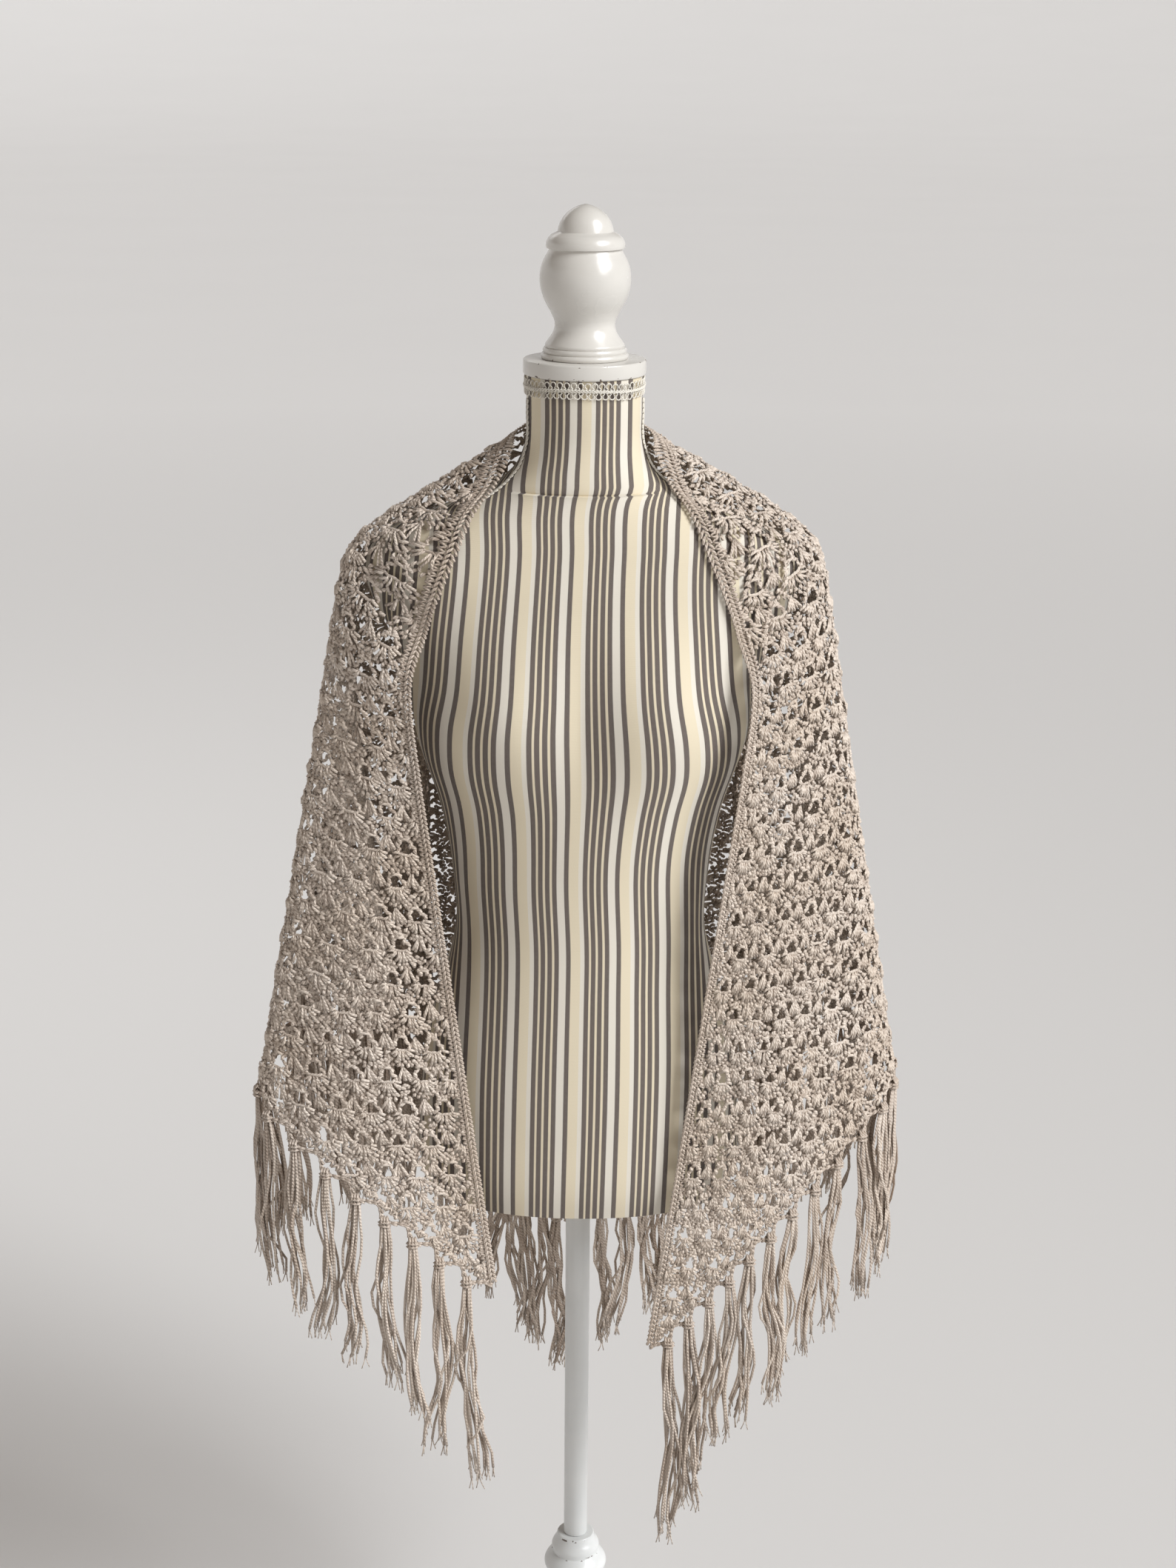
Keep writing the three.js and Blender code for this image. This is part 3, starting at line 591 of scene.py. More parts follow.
def hangAt(side, angle, length):
    line = angle - side * drape["foldTurn"] * np.sin(np.radians(2 * angle))
    breakX, breakY, run, lowX, lowY = (curve(line) for curve in lineCurves)
    panel = np.exp(-(((line - drape["panelRidge"]) / drape["panelSpread"]) ** 2))
    lowY = lowY + side * drape["panelTurn"] * panel
    turn = drape["neckStart"] + angle / 90 * (math.pi / 2 - drape["neckStart"])
    neckX, neckY = drape["neckRadius"] * np.cos(turn), drape["neckRadius"] * np.sin(turn)
    overX, overY = (breakX - neckX) / run, (breakY - neckY) / run
    below = drape["lowLength"] - run
    hangX, hangY = (lowX - breakX) / below, (lowY - breakY) / below
    rounding, steps = drape["shoulderRounding"], 40
    z = drape["neckHeight"] + drape["neckRise"] * np.sin(turn)
    for k in range(steps):
        beyond = length * (k + 0.5) / steps - run
        hung = (1 + beyond / np.hypot(beyond, rounding)) / 2
        sideways = (overX + (hangX - overX) * hung) ** 2 + (overY + (hangY - overY) * hung) ** 2
        z = z - np.sqrt(np.maximum(1 - sideways, drape["leastDrop"] ** 2)) * length / steps
    used = (length + np.hypot(length - run, rounding) - np.hypot(run, rounding)) / 2
    x = neckX + overX * (length - used) + hangX * used
    y = neckY + overY * (length - used) + hangY * used
    return np.stack([side * x, y, z], -1)


def clothPoints(u, v):
    v = np.maximum(v, 0.05)
    shift = u + drape["slipAtNeck"] + (drape["slipAtPoint"] - drape["slipAtNeck"]) * v / drape["deep"]
    side, out = np.where(shift < 0, -1.0, 1.0), np.abs(shift)
    neckLong = drape["neckRadius"] * (math.pi / 2 - drape["neckStart"])
    low, high = np.zeros_like(out), np.full_like(out, 90.0)
    for _ in range(46):
        angle = (low + high) / 2
        beyond = neckLong * (1 - angle / 90) + v / np.tan(np.radians(angle)) > out
        low, high = np.where(beyond, angle, low), np.where(beyond, high, angle)
    angle = np.maximum((low + high) / 2, 1e-9)
    points = hangAt(side, angle, v / np.sin(np.radians(angle)))
    for k in range(4):
        gradient = formGradient(points)
        slope = np.linalg.norm(gradient, axis=-1)
        spare = offForm(points) / slope - drape["offForm"]
        eased = (spare + np.hypot(spare, drape["easing"])) / 2 - spare
        push = eased if k == 0 else np.maximum(-spare, 0)
        points = points + gradient * (push / slope)[..., None]
    return points


# the drape worked out once on a grid over the flat cloth
gridU = np.arange(-1000, 1000.1, drape["grid"])
gridV = np.arange(0, 900.1, drape["grid"])
gridPoints = clothPoints(*np.meshgrid(gridU, gridV, indexing="ij"))
gridNormals = np.cross(np.gradient(gridPoints, axis=0), np.gradient(gridPoints, axis=1))
gridNormals /= np.linalg.norm(gridNormals, axis=-1, keepdims=True)
print("drape worked out:", gridPoints.shape)


def onCloth(u, v, out):
    a = np.clip((u - gridU[0]) / drape["grid"], 0, len(gridU) - 1.001)
    b = np.clip((v - gridV[0]) / drape["grid"], 0, len(gridV) - 1.001)
    i, j = a.astype(int), b.astype(int)
    s, t = (a - i)[..., None], (b - j)[..., None]

    def between(grid):
        near = grid[i, j] * (1 - s) + grid[i + 1, j] * s
        return near * (1 - t) + (grid[i, j + 1] * (1 - s) + grid[i + 1, j + 1] * s) * t

    normal = between(gridNormals)
    normal /= np.linalg.norm(normal, axis=-1, keepdims=True)
    return between(gridPoints) + normal * out[..., None], normal


# strands of one kind swept into tubes: paths (copies, points, 3) and the way their tops face
class Strands:
    paintedTopLight = 0.1  # painted highlight and shade: how much lighter the top of a strand is painted, and darker its underside

    def __init__(self):
        self.points, self.tones, self.under, self.count = [], [], [], 0
        self.faces, self.maps = {3: [], 4: []}, {3: [], 4: []}

    def add(self, paths, facing, size, tone, sides=3):
        copies, long, _ = paths.shape
        wide, high = (np.broadcast_to(value, (long,))[:, None, None] for value in size)
        along = np.gradient(paths, axis=1)
        along /= np.linalg.norm(along, axis=-1, keepdims=True) + 1e-9
        across = np.cross(along, facing)
        across /= np.linalg.norm(across, axis=-1, keepdims=True) + 1e-9
        upward = np.cross(across, along)
        turns = np.arange(sides) * (2 * math.pi / sides)
        ring = np.cos(turns)[:, None] * upward[:, :, None] * high
        ring = ring + np.sin(turns)[:, None] * across[:, :, None] * wide
        self.points.append((paths[:, :, None] + ring).reshape(-1, 3))
        # painted highlight and shade: each ring of a strand is lighter at its top and darker underneath
        lit = np.broadcast_to(tone, (copies, long))[..., None] + self.paintedTopLight * np.cos(turns)
        self.tones.append(lit.reshape(-1))
        self.under.append(np.tile((np.arange(sides) > 0) & (sides == 3), copies * long))
        starts = self.count + np.arange(copies)[:, None, None] * (long * sides)
        k, n = np.arange(long - 1)[None, :, None], np.arange(sides)[None, None, :]
        after = (n + 1) % sides
        quads = np.stack(np.broadcast_arrays(
            starts + k * sides + n, starts + (k + 1) * sides + n,
            starts + (k + 1) * sides + after, starts + k * sides + after), -1)
        self.faces[4].append(quads.reshape(-1, 4))
        steps = np.linalg.norm(np.diff(paths, axis=1), axis=-1)
        length = np.concatenate([np.zeros((copies, 1)), np.cumsum(steps, axis=1)], axis=1)[..., None]
        here, there = length[:, :-1], length[:, 1:]
        edge, edgeNext = n / sides, (n + 1) / sides
        corners = [(here, edge), (there, edge), (there, edgeNext), (here, edgeNext)]
        mapped = np.stack([np.stack(np.broadcast_arrays(a, b), -1) for a, b in corners], -2)
        self.maps[4].append(mapped.reshape(-1, 2))
        order = np.arange(sides)
        for end, turned in ((0, order), ((long - 1) * sides, order[::-1])):
            self.faces[sides].append(starts[:, 0] + end + turned)
            self.maps[sides].append(np.tile(np.stack([turned * 0.0, turned / sides], -1), (copies, 1)))
        self.count += copies * long * sides

    def piece(self, name, material, nodes, slot):
        points = np.concatenate(self.points) / 1000
        corners, sizes, maps = [], [], []
        for sides in (4, 3):
            for faces, mapped in zip(self.faces[sides], self.maps[sides]):
                corners.append(faces.ravel())
                sizes.append(np.full(len(faces), sides))
                maps.append(mapped)
        corners, sizes = np.concatenate(corners), np.concatenate(sizes)
        mesh = bpy.data.meshes.new(name)
        mesh.vertices.add(len(points))
        mesh.vertices.foreach_set("co", points.ravel())
        mesh.loops.add(len(corners))
        mesh.loops.foreach_set("vertex_index", corners.astype(np.int32))
        mesh.polygons.add(len(sizes))
        mesh.polygons.foreach_set("loop_start", (np.cumsum(sizes) - sizes).astype(np.int32))
        mesh.polygons.foreach_set("use_smooth", np.ones(len(sizes), bool))
        mesh.update(calc_edges=True)
        under, ends = np.concatenate(self.under), np.empty(len(mesh.edges) * 2, np.int32)
        mesh.edges.foreach_get("vertices", ends)
        first, second = ends.reshape(-1, 2).T  # a strand's top is round, its two lower edges are crisp
        crisp = under[first] & under[second] & (np.abs(first - second) == 3)
        mesh.edges.foreach_set("use_edge_sharp", crisp)
        layer = mesh.uv_layers.new(name="strandMap")
        layer.uv.foreach_set("vector", np.concatenate(maps).ravel())
        tones = mesh.attributes.new("tone", "FLOAT", "POINT")
        tones.data.foreach_set("value", np.concatenate(self.tones))
        made = bpy.data.objects.new(name, mesh)
        bpy.context.collection.objects.link(made)
        print(name, int((sizes - 2).sum()), "triangles")
        return dress(made, name, material, nodes)


# what the hand leaves uneven in chains and loops, and the draw that it comes from
handwork = {"seed": 11, "stray": 0.12, "loopStray": 0.15, "toneStray": 0.06}
chance = np.random.default_rng(handwork["seed"])

# one shell, millimetres: out along the long edge, across the rows, out of the cloth
shell = {
    "rows": 31, "centre": 10.2,
    # half width and half height of each kind of stitch, along its length
    "yarn": (1.5, 0.85), "stitch": ([1.3, 2.1, 1.4], [0.55, 0.95, 0.55]),
    "post": ([1.1, 1.5, 1.6], 0.9), "side": ([1.3, 1.6, 1.7], 0.8),
    "legs": [(-3.6, 1.8), (1.0, 3.5), (9.2, 6.6)], "legStitches": 6, "legLean": 34.0,
    "legOut": (0.2, 0.9, 0.3), "stitchLong": 5.6,
    "knot": [(-0.6, -3.4, 1.2), (-0.9, 0.0, 1.6), (-0.6, 3.4, 1.2)],
    "chain": {"points": 7, "open": 98.0, "long": 2.0, "swing": 0.5, "wide": 5.8, "out": 0.9},
    # tall stitches: how far each reaches along and across, and how it bows
    "posts": {"points": 10, "open": 76.0, "root": (2.2, 5.2, 0.1), "tip": (12.8, 10.6, 1.1),
              "middle": 0.55, "middleOut": 1.4, "bow": 1.6},
    "tips": [  # short stitches in two rows, which lean opposite ways
        {"points": 10, "open": 64.0, "low": 12.2, "high": 16.6, "out": 0.5, "tilt": -3.0},
        {"points": 9, "open": 48.0, "low": 15.6, "high": 20.2, "out": 0.2, "tilt": 2.4},
    ],
    # the few stitches between two shells
    "between": {"root": -2.4, "points": 5, "open": 25.0, "reach": [(0.0, 0.2), (7.81, 0.8), (14.2, 0.4)]},
    "wander": 0.34, "shift": 0.5, "lean": 6.0, "stray": 0.9, "sizeStray": 0.035,
    "pucker": 1.4, "puckerAt": 16.0, "puckerReach": 9.0, "puckerSunk": 0.35,
    # painted shade: stitches are painted darker the lower they lie in the cloth, after the base tone
    "tone": 0.58, "paintedDepthShade": 0.24, "toneStray": 0.08,
}
rowLong = drape["halfLong"] / shell["rows"]
shellWide = (drape["deep"] - laceTop) / shell["rows"]


def fanPoint(degrees, long, wide, out, centre=(shell["centre"], 0.0)):
    turn = math.radians(degrees)
    return [centre[0] + long * math.cos(turn), centre[1] + wide * math.sin(turn), out]


def fanTurns(row):
    return [-row["open"] + 2 * row["open"] * k / (row["points"] - 1) for k in range(row["points"])]


# a knobbly row of short stitches that lie aslant along a line
def slantedRow(line, count, lean):
    line = np.array(line, float)
    steps = np.linspace(0, len(line) - 1, count)
    middles = np.stack([np.interp(steps, np.arange(len(line)), line[:, axis]) for axis in (0, 1)], -1)
    headings = np.gradient(middles, axis=0)
    row = []
    for k, (middle, heading) in enumerate(zip(middles, headings)):
        turn = math.atan2(heading[1], heading[0]) + math.radians(lean) * (1 if k % 2 else -1)
        reach = np.array([math.cos(turn), math.sin(turn)]) * shell["stitchLong"] / 2
        spots = (middle - reach, middle, middle + reach)
        row.append(("stitch", [(*spot, out) for spot, out in zip(spots, shell["legOut"])]))
    return row


def shellPaths():
    paths = [("yarn", shell["knot"])]
    for way in (-1, 1):
        leg = [(ahead, way * aside) for ahead, aside in shell["legs"]]
        paths += slantedRow(leg, shell["legStitches"], shell["legLean"])
    chain = shell["chain"]
    swings = [chain["long"] + (-1) ** k * chain["swing"] for k in range(chain["points"])]
    paths.append(("yarn", [fanPoint(turn, long, chain["wide"], chain["out"])
                           for turn, long in zip(fanTurns(chain), swings)]))
    posts = shell["posts"]
    middle = [posts["middle"] * reach for reach in posts["tip"][:2]]
    for k, turn in enumerate(fanTurns(posts)):
        bowed = fanPoint(turn + posts["bow"] * (1 if k % 2 else -1), *middle, posts["middleOut"])
        paths.append(("post", [fanPoint(turn, *posts["root"]), bowed, fanPoint(turn, *posts["tip"])]))
    for row in shell["tips"]:
        low, high, out, tilt = row["low"], row["high"], row["out"], row["tilt"]
        middle = (low + high) / 2
        for turn in fanTurns(row):
            foot = fanPoint(turn - tilt, low, low, out - 0.7)
            head = fanPoint(turn + tilt, high, high, out - 0.2)
            paths.append(("stitch", [foot, fanPoint(turn, middle, middle, out + 0.4), head]))
    group = shell["between"]
    middle = (group["root"], shellWide / 2)
    for turn in fanTurns(group):
        paths.append(("side", [fanPoint(turn, long, long, out, middle) for long, out in group["reach"]]))
    return paths


stitches = shellPaths()


# lays the same path into every shell of one half, side -1 or 1, and keeps what falls inside the stretch
def layPath(strands, kind, path, places, side, stretch, draw):
    startU, startV, lean, size = places
    count = len(startU)
    spots = np.array(path, float)[None] * np.stack([size, size, np.ones(count)], -1)[:, None]
    spots = spots + draw.normal(0, shell["wander"], spots.shape) * np.array([1, 1, 0.8])
    spots = spots + draw.normal(0, shell["shift"], (count, 1, 3)) * np.array([1, 1, 0.7])
    ahead, aside, out = np.moveaxis(spots, -1, 0)
    cosine, sine = np.cos(lean)[:, None], np.sin(lean)[:, None]
    u = startU[:, None] + ahead * cosine - aside * sine
    v = startV[:, None] + ahead * sine + aside * cosine
    midU, midV = u.mean(1), v.mean(1)
    i = np.clip(np.floor(midU / motifAcross), 0, len(stretch) - 1).astype(int)
    j = np.clip(np.floor(midV / motifDown), 0, len(stretch) - 1).astype(int)
    aboveHem = midU / drape["halfLong"] + midV / (drape["deep"] - laceTop) < 1.001
    kept = (midU > 0) & (midV > 0) & aboveHem & stretch[i, j]
    mound = np.exp(-((ahead - shell["puckerAt"]) ** 2 + aside ** 2) / shell["puckerReach"] ** 2)
    raised = shell["pucker"] * (mound - shell["puckerSunk"])
    u, v = np.maximum(u, 1.4), laceTop + np.maximum(v, 1.0)
    points, facing = onCloth((side * u)[kept], v[kept], (out + raised)[kept])
    # painted shade: each point is painted lighter the higher it stands out of the cloth and darker the
    # lower, besides a random tone per shell
    tone = shell["tone"] + shell["paintedDepthShade"] * out + draw.normal(0, shell["toneStray"], (count, 1))
    strands.add(points, facing, shell[kind], tone[kept])


def layLace(strands, side, chosen):
    draw = np.random.default_rng(handwork["seed"])  # begun again, so that the stretches meet
    cells, last = range(drape["motifs"]), drape["motifs"] - 1
    stretch = np.array([[bool(chosen(i, min(j, last - i))) for j in cells] for i in cells])
    places = np.array([
        (row * rowLong, (n + 0.5 * (row % 2)) * shellWide)  # every other row stands half a shell over
        for row in range(-1, shell["rows"]) for n in range(shell["rows"] - row + 1)])
    places = places + draw.normal(0, shell["stray"], places.shape)
    lean = np.radians(draw.normal(0, shell["lean"], len(places)))
    size = 1 + draw.normal(0, shell["sizeStray"], len(places))
    for kind, path in stitches:
        layPath(strands, kind, path, (*places.T, lean, size), side, stretch, draw)


# a chain of stitches through places on the flat cloth, each stitch two legs that open forwards
def layChain(strands, u, v, half, size, out, tone):
    stepU, stepV = np.gradient(u), np.gradient(v)
    long = np.hypot(stepU, stepV) + 1e-9
    acrossU, acrossV = -stepV / long, stepU / long
    stray = handwork["stray"]
    for way in (-1, 1):
        spots = [(-0.07, 0.0, 0.0), (0.55, 0.62 * half * way, 1.0), (1.18, half * way, 0.3)]
        placeU = np.stack([u + stepU * ahead + acrossU * aside for ahead, aside, _ in spots], -1)
        placeV = np.stack([v + stepV * ahead + acrossV * aside for ahead, aside, _ in spots], -1)
        high = out + np.array([spot[2] for spot in spots]) + chance.normal(0, stray, (len(u), 1))
        points, facing = onCloth(placeU, placeV + chance.normal(0, stray, placeV.shape), high)
        strands.add(points, facing, size, tone + chance.normal(0, handwork["toneStray"], (len(u), 1)))


# a row of loops between two lines on the flat cloth, each loop two legs
def layLoops(strands, first, second, size, out, tone):
    odd = np.arange(len(first[0])) % 2 == 1
    u, v = np.where(odd, second[0], first[0]), np.where(odd, second[1], first[1])
    high = out + np.where(odd, 0.5, -0.4) + chance.normal(0, handwork["loopStray"], len(u))
    pairs = [np.stack([spot[:-1], spot[1:]], -1) for spot in (u, v, high)]
    points, facing = onCloth(*pairs)
    strands.add(points, facing, size, tone + chance.normal(0, handwork["toneStray"], (len(u) - 1, 1)))


# stretches of the lace by motif: i out from the middle of the back, j down from the neck edge
stretches = {
    "Back": {"chosen": lambda i, j: i < 4, "flat": (0.170, 0.833)},
    "Shoulder": {"chosen": lambda i, j: 4 <= i < 12 and j < 5, "flat": (0.340, 0.190)},
    "Front": {"chosen": lambda i, j: i >= 12 and j < 5, "flat": (0.425, 0.190)},
    "Side": {"chosen": lambda i, j: i >= 4 and j >= 5, "flat": (0.552, 0.643)},
}
sides = {"Left": -1, "Right": 1}
spine = {"pitch": 4.4, "aside": 1.9, "half": 2.2, "size": (1.6, 0.8), "out": 0.3, "tone": 0.62}
motifs = drape["motifs"]
sheets = {}
for sideName, side in sides.items():
    for stretchName, stretch in stretches.items():
        strands = Strands()
        layLace(strands, side, stretch["chosen"])
        node = f"shawl_{sideName}_{stretchName}".lower()
        if stretchName == "Back":
            node = "shawl_back"
            down = np.arange(laceTop, drape["deep"], spine["pitch"])
            aside = np.full(len(down), side * spine["aside"])
            layChain(strands, aside, down, spine["half"], spine["size"], spine["out"], spine["tone"])
        cells = [(i, j) for i in range(motifs) for j in range(motifs - i) if stretch["chosen"](i, j)]
        share = sum(0.5 if sum(cell) == motifs - 1 else 1.0 for cell in cells)  # halves along the hem
        made = strands.piece(f"shawl{sideName}{stretchName}", cotton, [node], "yarn")
        sheets[sideName, stretchName] = (made, stretch["flat"], share * motifAcross * motifDown / 1e6)
print("lace laid")

# worked edge along the neck and the fronts: a chain, and a row of loops into the lace
edging = {
    "pitch": 4.4, "start": 0.6, "short": 3.0, "middle": 3.6, "half": 2.5, "size": (1.5, 0.85),
    "out": 0.5, "tone": 0.68,
    "loops": (6.2, 10.2), "loopSize": (1.45, 0.7), "loopShort": 8.0, "loopOut": 0.3, "loopTone": 0.62,
}


def layEdging(strands, side, spec):
    along = np.arange(spec["start"], drape["halfLong"] - spec["short"], spec["pitch"]) * side
    middle = np.full(len(along), spec["middle"])
    layChain(strands, along, middle, spec["half"], spec["size"], spec["out"], spec["tone"])
    fine = np.arange(spec["start"], drape["halfLong"] - spec["loopShort"], spec["pitch"] / 2) * side
    near, far = ((fine, np.full(len(fine), at)) for at in spec["loops"])
    layLoops(strands, near, far, spec["loopSize"], spec["loopOut"], spec["loopTone"])


edgings = {}
for sideName, side in sides.items():
    strands = Strands()
    layEdging(strands, side, edging)
    node = f"edging_{sideName}".lower()
    edgings[sideName] = strands.piece(f"edging{sideName}", cotton, [node], "yarn")
print("edging laid")

# fringe: a scalloped chain under the hem, knots on it, and tassels of loose strands
fringe = {
    "chainSteps": 15, "chainHigh": 1.2, "dip": 8.0, "chainHalf": 1.3, "chainSize": (1.4, 0.9),
    "chainOut": 0.3, "chainTone": 0.64,
    "hemRow": (-4.0, 1.4), "loopSteps": 22, "loopSize": (1.6, 0.75), "loopOut": 0.4, "loopTone": 0.62,
    "perMotif": 2, "rootLow": 1.0, "rootOut": 0.4, "beside": 0.05,
    "strands": 10, "long": 162.0, "longAtTip": 206.0, "uneven": (0.88, 1.02), "tipMotifs": 2, "points": 11,
    "bundle": (6.8, 4.0), "atKnot": 0.5, "atEnd": 1.4, "lean": 8.0, "leanMost": 14.0,
    "bend": 5.0, "bends": 5.5, "wave": 3.2, "stray": 0.06, "strayWave": 2.8,
    "strandSize": (1.45, 1.3), "tone": 0.64, "toneStray": 0.12,
    "fraySize": (0.55, 0.5), "frayDown": (2.0, -4.5, -10.0), "frayShare": (0.0, 0.45, 1.0), "frayFly": 1.4,
    "knot": (5.0, 3.9), "knotDown": (1.6, 4.8), "knotSize": (1.5, 1.3), "knotStray": 0.35, "knotTone": 0.62,
    # the bight over the chain, out from the cloth and up, and the way its yarn faces
    "bight": [(2.6, -4.0), (3.0, 1.5), (0.4, 4.4), (-2.4, 1.5), (-2.4, -4.0)],
    "bightFacing": [(1.0, 0.0), (1.0, 0.3), (0.0, 1.0), (-1.0, 0.3), (-1.0, 0.0)],
    "bightAside": (-2.5, 0.0, 2.5),
}
fringeSpans = {"Front": (17, 22), "Side": (4, 17), "Back": (0, 4)}


def hemPlace(side, motif, out):
    hemLong = math.hypot(drape["halfLong"], drape["deep"])
    u = motif * motifAcross + out * drape["deep"] / hemLong
    v = laceTop + (drape["motifs"] - motif) * motifDown + out * drape["halfLong"] / hemLong
    return side * u, v


def layHem(strands, side, start, end):
    motif = np.linspace(start, end, (end - start) * fringe["chainSteps"] + 1)
    dip = fringe["chainHigh"] + fringe["dip"] * np.sin(motif * 2 * math.pi) ** 2
    u, v = hemPlace(side, motif, dip)
    half, size = fringe["chainHalf"], fringe["chainSize"]
    layChain(strands, u, v, half, size, fringe["chainOut"], fringe["chainTone"])
    motif = np.linspace(start, end, (end - start) * fringe["loopSteps"] + 1)
    low, high = (hemPlace(side, motif, out) for out in fringe["hemRow"])
    layLoops(strands, low, high, fringe["loopSize"], fringe["loopOut"], fringe["loopTone"])


# where each tassel is knotted on, and the ways along the hem and out from it
def tasselRoots(side, motif):
    count = len(motif)
    low = np.full(count, fringe["dip"] + fringe["rootLow"])
    roots, facing = onCloth(*hemPlace(side, motif, low), np.full(count, fringe["rootOut"]))
    dip, flat = np.full(count, fringe["dip"]), np.zeros(count)
    before, _ = onCloth(*hemPlace(side, motif - fringe["beside"], dip), flat)
    after, _ = onCloth(*hemPlace(side, motif + fringe["beside"], dip), flat)
    wide = (after - before) * np.array([1, 1, 0.0])
    wide /= np.linalg.norm(wide, axis=-1, keepdims=True) + 1e-9
    deep = np.stack([-wide[:, 1], wide[:, 0], np.zeros(count)], -1)
    deep *= np.sign(np.sum(deep * facing, axis=-1, keepdims=True) + 1e-9)
    return roots[:, None], wide[:, None], deep[:, None]


# every tassel leans and bends as one, and each strand waves a little by itself
def layStrands(strands, motif, roots, wide, deep):
    count = len(motif)
    nearTip = np.clip((motif - drape["motifs"]) / fringe["tipMotifs"] + 1, 0, 1)
    long = fringe["long"] + (fringe["longAtTip"] - fringe["long"]) * nearTip ** 2 * (3 - 2 * nearTip)
    drop = np.linspace(0, 1, fringe["points"]) ** 0.85
    most = fringe["leanMost"]
    lean = np.clip(chance.normal(0, fringe["lean"], (count, 2)), -most, most)
    bend = chance.uniform(0, 2 * math.pi, (count, 1))
    bent = np.sin(drop * fringe["bends"] + bend) * np.minimum(drop * 2, 1)
    bundleWide = lean[:, :1] * drop ** 1.6 + fringe["bend"] * bent
    bundleDeep = 0.4 * lean[:, 1:] * drop ** 1.6
    spread = fringe["atKnot"] + (1 - fringe["atKnot"]) * np.minimum(drop * 4, 1)
    spread = spread + (fringe["atEnd"] - 1) * drop ** 2
    for n in range(fringe["strands"]):
        turn = 2 * math.pi * n / fringe["strands"] + chance.uniform(-0.4, 0.4, (count, 1))
        reach = np.sqrt(chance.uniform(0.1, 1.0, (count, 1)))
        waves = chance.uniform(0.8, 2.4, (count, 1))
        phase = chance.uniform(0, 2 * math.pi, (count, 2))
        slack = fringe["wave"] * chance.uniform(0.3, 1.5, (count, 1)) * np.minimum(drop * 2.5, 1)
        strayed = chance.uniform(0, 1, (count, 1)) < fringe["stray"]
        slack = slack * np.where(strayed, fringe["strayWave"], 1.0)
        aside = np.cos(turn) * reach * fringe["bundle"][0] * spread + bundleWide
        aside = aside + slack * np.sin(2 * math.pi * waves * drop + phase[:, :1])
        outward = np.sin(turn) * reach * fringe["bundle"][1] * spread + bundleDeep
        outward = outward + 0.6 * slack * np.sin(2 * math.pi * waves * drop + phase[:, 1:])
        paths = roots + wide * aside[..., None] + deep * outward[..., None]
        paths[..., 2] -= drop * (long * chance.uniform(*fringe["uneven"], count))[:, None]
        # painted shade: strands on the side of a tassel towards the cloth are painted darker and those on
        # the outer side lighter, besides a random tone
        tone = fringe["tone"] + chance.normal(0, fringe["toneStray"], (count, 1)) + 0.07 * np.sin(turn)
        strands.add(paths, np.broadcast_to(deep, paths.shape), fringe["strandSize"], tone)
        for way in (-1, 1):  # frayed ends
            tips = paths[:, -1:] + np.array([(0, 0, down) for down in fringe["frayDown"]])
            fly = chance.normal(0, fringe["frayFly"], (count, 1, 2)) + np.array([way * 1.5, 0])
            fly = fly * np.array(fringe["frayShare"])[:, None]
            tips = tips + wide * fly[..., :1] + deep * fly[..., 1:]
            strands.add(tips, np.broadcast_to(deep, tips.shape), fringe["fraySize"], tone + 0.08)


# two turns of yarn round each bundle, and the bight over the chain
def layKnots(strands, roots, wide, deep):
    turns = np.linspace(0, 2 * math.pi, 9)
    knotWide, knotDeep = fringe["knot"]
    ring = wide * np.cos(turns)[:, None] * knotWide + deep * np.sin(turns)[:, None] * knotDeep
    facing = ring / np.linalg.norm(ring, axis=-1, keepdims=True)
    for down in fringe["knotDown"]:
        paths = roots + ring - np.array([0, 0, down])
        paths[..., 2] += chance.normal(0, fringe["knotStray"], paths.shape[:2])
        strands.add(paths, facing, fringe["knotSize"], fringe["knotTone"])
    bight, outside = np.array(fringe["bight"]), np.array(fringe["bightFacing"])
    facing = deep * outside[:, :1] + np.array([0, 0, 1.0]) * outside[:, 1:]
    for aside in fringe["bightAside"]:
        paths = roots + wide * aside + deep * bight[:, :1]
        paths[..., 2] += bight[:, 1]
        strands.add(paths, facing, fringe["knotSize"], fringe["tone"])


fringes = {}
for sideName, side in sides.items():
    for spanName, (start, end) in fringeSpans.items():
        strands = Strands()
        layHem(strands, side, start, end)
        perMotif = fringe["perMotif"]
        motif = (np.arange(start * perMotif, end * perMotif) + 0.5) / perMotif
        roots = tasselRoots(side, motif)
        layStrands(strands, motif, *roots)
        layKnots(strands, *roots)
        node = f"fringe_{sideName}_{spanName}".lower()
        name = f"fringe{sideName}{spanName}"
        fringes[sideName, spanName] = strands.piece(name, cotton, [node], "yarn")
print("fringe hung")

for (sideName, stretchName), (made, flat, area) in sheets.items():
    joined = [fringes[sideName, stretchName]] if stretchName in fringeSpans else []
    if stretchName in ("Shoulder", "Front"):
        joined.append(edgings[sideName])

# gimp braid: two rows of small scrolls round the neck with a plait between, single scrolls at the sides
neckBraid = {
    "scrolls": 54, "low": 1365.2, "high": 1374.0, "scroll": 2.5, "cord": 0.6, "out": 1.6, "tone": 0.9,
    "sag": 0.7, "sagFrom": 0.6, "sagStray": 0.15, "plait": 1.2, "plaitCord": 0.69, "plaitTone": 0.88,
}
sideBraid = {
    "scroll": 2.1, "step": 4.6, "cord": 0.7, "out": 1.3, "tone": 0.9, "top": 1359.0, "end": 1267.0,
    "holdStep": 2.2, "holdAside": 1.2, "holdOut": 1.7, "holdCord": 0.63, "holdTone": 0.85,
    "forward": {"Left": 20.0, "Right": 8.0},
}


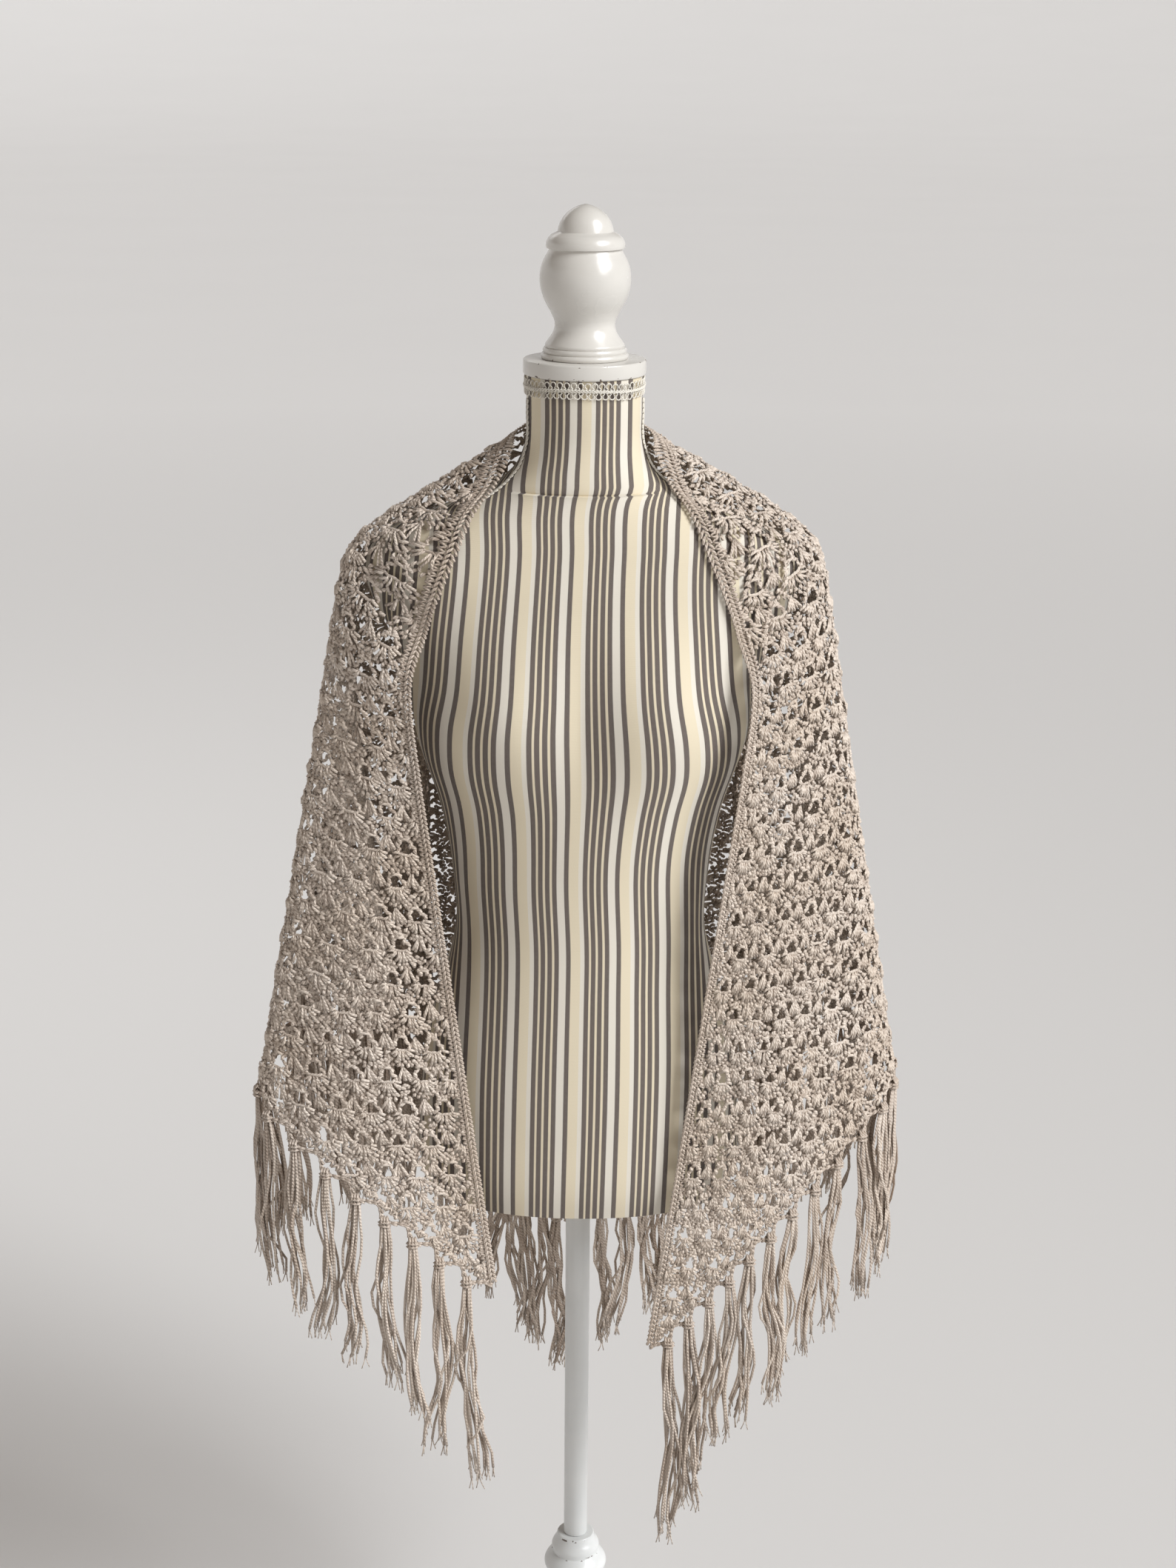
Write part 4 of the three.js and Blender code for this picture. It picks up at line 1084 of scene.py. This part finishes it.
def scroll(size, up):
    turns = np.radians(np.linspace(-60, 250, 8))
    curl = [(size * math.cos(t), up * size * math.sin(t)) for t in turns]
    return np.array([(size * 1.7, -up * size * 1.75)] + curl + [(-size * 0.6, -up * size * 1.9)])


def ringPoints(turn, z, out):
    radius = formRadius(turn, z) + out
    return np.stack([radius * np.cos(turn), radius * np.sin(turn), z], -1)


def outwardFrom(points):
    away = points * np.array([1, 1, 0.0])
    return away / np.linalg.norm(away, axis=-1, keepdims=True)


def makeNeckBraid(spec):
    strands = Strands()
    count = spec["scrolls"]
    step = 2 * math.pi / count

    def sagAt(turn):
        return spec["sag"] * np.sin(turn * 3 + spec["sagFrom"])

    turns = np.arange(count) * step
    sag = (sagAt(turns) + chance.normal(0, spec["sagStray"], count))[:, None]
    for level, up in ((spec["high"], 1), (spec["low"], -1)):
        shape = scroll(spec["scroll"], up)
        turn = turns[:, None] + (0.5 * (up < 0) + shape[:, 0] / 6.0) * step
        points = ringPoints(turn, level + sag + shape[:, 1], spec["out"])
        tone = spec["tone"] + chance.normal(0, 0.05, (count, 1))
        strands.add(points, outwardFrom(points), (spec["cord"],) * 2, tone, sides=4)
    steps = np.arange(count * 4 + 1)
    fine, quarter = steps * step / 4, steps * math.pi / 2
    middle = (spec["low"] + spec["high"]) / 2 + sagAt(fine)
    for way in (-1, 1):
        swing = way * spec["plait"] * np.sin(quarter + 0.4)
        points = ringPoints(fine, middle + swing, spec["out"] + 0.5 + 0.3 * way * np.cos(quarter))
        size = (spec["plaitCord"],) * 2
        strands.add(points[None], outwardFrom(points)[None], size, spec["plaitTone"], sides=4)
    return strands.piece("neckGimp", gimp, ["neck_braid"], "gimp")


def makeSideBraid(spec, sideName, side):
    strands = Strands()
    forward = math.radians(spec["forward"][sideName])
    outTo = np.array([side * math.cos(forward), -math.sin(forward), 0.0])
    overTo = np.array([side * math.sin(forward), math.cos(forward), 0.0])
    upTo = np.array([0.0, 0.0, 1.0])
    heights = np.linspace(spec["top"], spec["end"], 200)
    reach = formRadius(np.full(len(heights), -forward), heights)
    long = np.concatenate([[0], np.cumsum(np.hypot(np.diff(reach), np.diff(heights)))])
    slopeOut, slopeUp = np.gradient(reach, long), np.gradient(heights, long)

    def lay(along, across, lift):
        rise, run = np.interp(along, long, slopeOut), np.interp(along, long, slopeUp)
        facing = outTo * -run[..., None] + upTo * rise[..., None]
        away, high = np.interp(along, long, reach), np.interp(along, long, heights)
        at = outTo * away[..., None] + upTo * high[..., None]
        return at + facing * lift[..., None] + overTo * across[..., None], facing

    spots = np.arange(spec["scroll"], long[-1] - spec["scroll"], spec["step"])
    turns = np.linspace(0, 2 * math.pi, 9)
    along = spots[:, None] + spec["scroll"] * 1.1 * np.cos(turns)
    across = np.broadcast_to(spec["scroll"] * np.sin(turns), along.shape)
    points, facing = lay(along, across, np.broadcast_to(spec["out"] + 0.3 * np.cos(turns), along.shape))
    strands.add(points, facing, (spec["cord"],) * 2, spec["tone"], sides=4)
    at = np.arange(0, long[-1], spec["holdStep"])
    for way in (-1, 1):  # the two cords that hold the scrolls
        across = way * spec["holdAside"] * np.cos(np.arange(len(at)) * math.pi)
        points, facing = lay(at, across, np.full(len(at), spec["holdOut"]))
        strands.add(points[None], facing[None], (spec["holdCord"],) * 2, spec["holdTone"], sides=4)
    node = f"shoulder_braid_{sideName}".lower()
    return strands.piece(f"shoulderGimp{sideName}", gimp, [node], "gimp")


makeNeckBraid(neckBraid)
for sideName, side in sides.items():
    makeSideBraid(sideBraid, sideName, side)
print("gimp laid")

# floor that rises far away to fill the view, soft light from the sky and from the right
studio = {
    "floor": 160.0, "cells": 48, "level": 30.0, "rise": 0.008,
    "sky": (1.0, 0.80, 0.64, 1), "skyStrength": 0.14,
    "sun": {"from": (0.70, -0.38, 0.60), "strength": 2.9, "spread": 34.0, "tint": (0.97, 0.99, 1.01)},
    "lamps": [
        {"name": "windowRight", "at": (2.3, -2.0, 2.7), "aim": (0, 0, 1.05), "size": 1.2, "watts": 26},
        {"name": "lampBehind", "at": (-1.2, 2.4, 2.6), "aim": (-1.1, 2.2, 0), "size": 1.6, "watts": 10},
    ],
}


def hangLight(name, kind, at, toward, values):
    data = bpy.data.lights.new(name, kind)
    for key, value in values.items():
        setattr(data, key, value)
    light = bpy.data.objects.new(name, data)
    bpy.context.collection.objects.link(light)
    light.rotation_euler = (Vector(at) - Vector(toward)).to_track_quat("Z", "Y").to_euler()
    light.location = at


def lightStudio(spec):
    deselectAll()
    cells = spec["cells"]
    bpy.ops.mesh.primitive_grid_add(
        x_subdivisions=cells, y_subdivisions=cells, size=spec["floor"], location=(0, 0, 0))
    floor = bpy.context.object
    floor.name = "studioFloor"
    for vertex in floor.data.vertices:
        vertex.co.z = spec["rise"] * max(vertex.co.xy.length - spec["level"], 0) ** 2
    bpy.ops.object.shade_smooth()
    floor.data.materials.append(floorPaint)
    world = bpy.data.worlds.new("studioSky")
    world.use_nodes = True
    sky = world.node_tree.nodes["Background"]
    sky.inputs["Color"].default_value = spec["sky"]
    sky.inputs["Strength"].default_value = spec["skyStrength"]
    bpy.context.scene.world = world
    sun = spec["sun"]
    values = {"energy": sun["strength"], "angle": math.radians(sun["spread"]), "color": sun["tint"]}
    hangLight("daylight", "SUN", sun["from"], (0, 0, 0), values)
    for lamp in spec["lamps"]:
        values = {"shape": "DISK", "size": lamp["size"], "energy": lamp["watts"]}
        hangLight(lamp["name"], "AREA", lamp["at"], lamp["aim"], values)


lightStudio(studio)
print("studio lit")
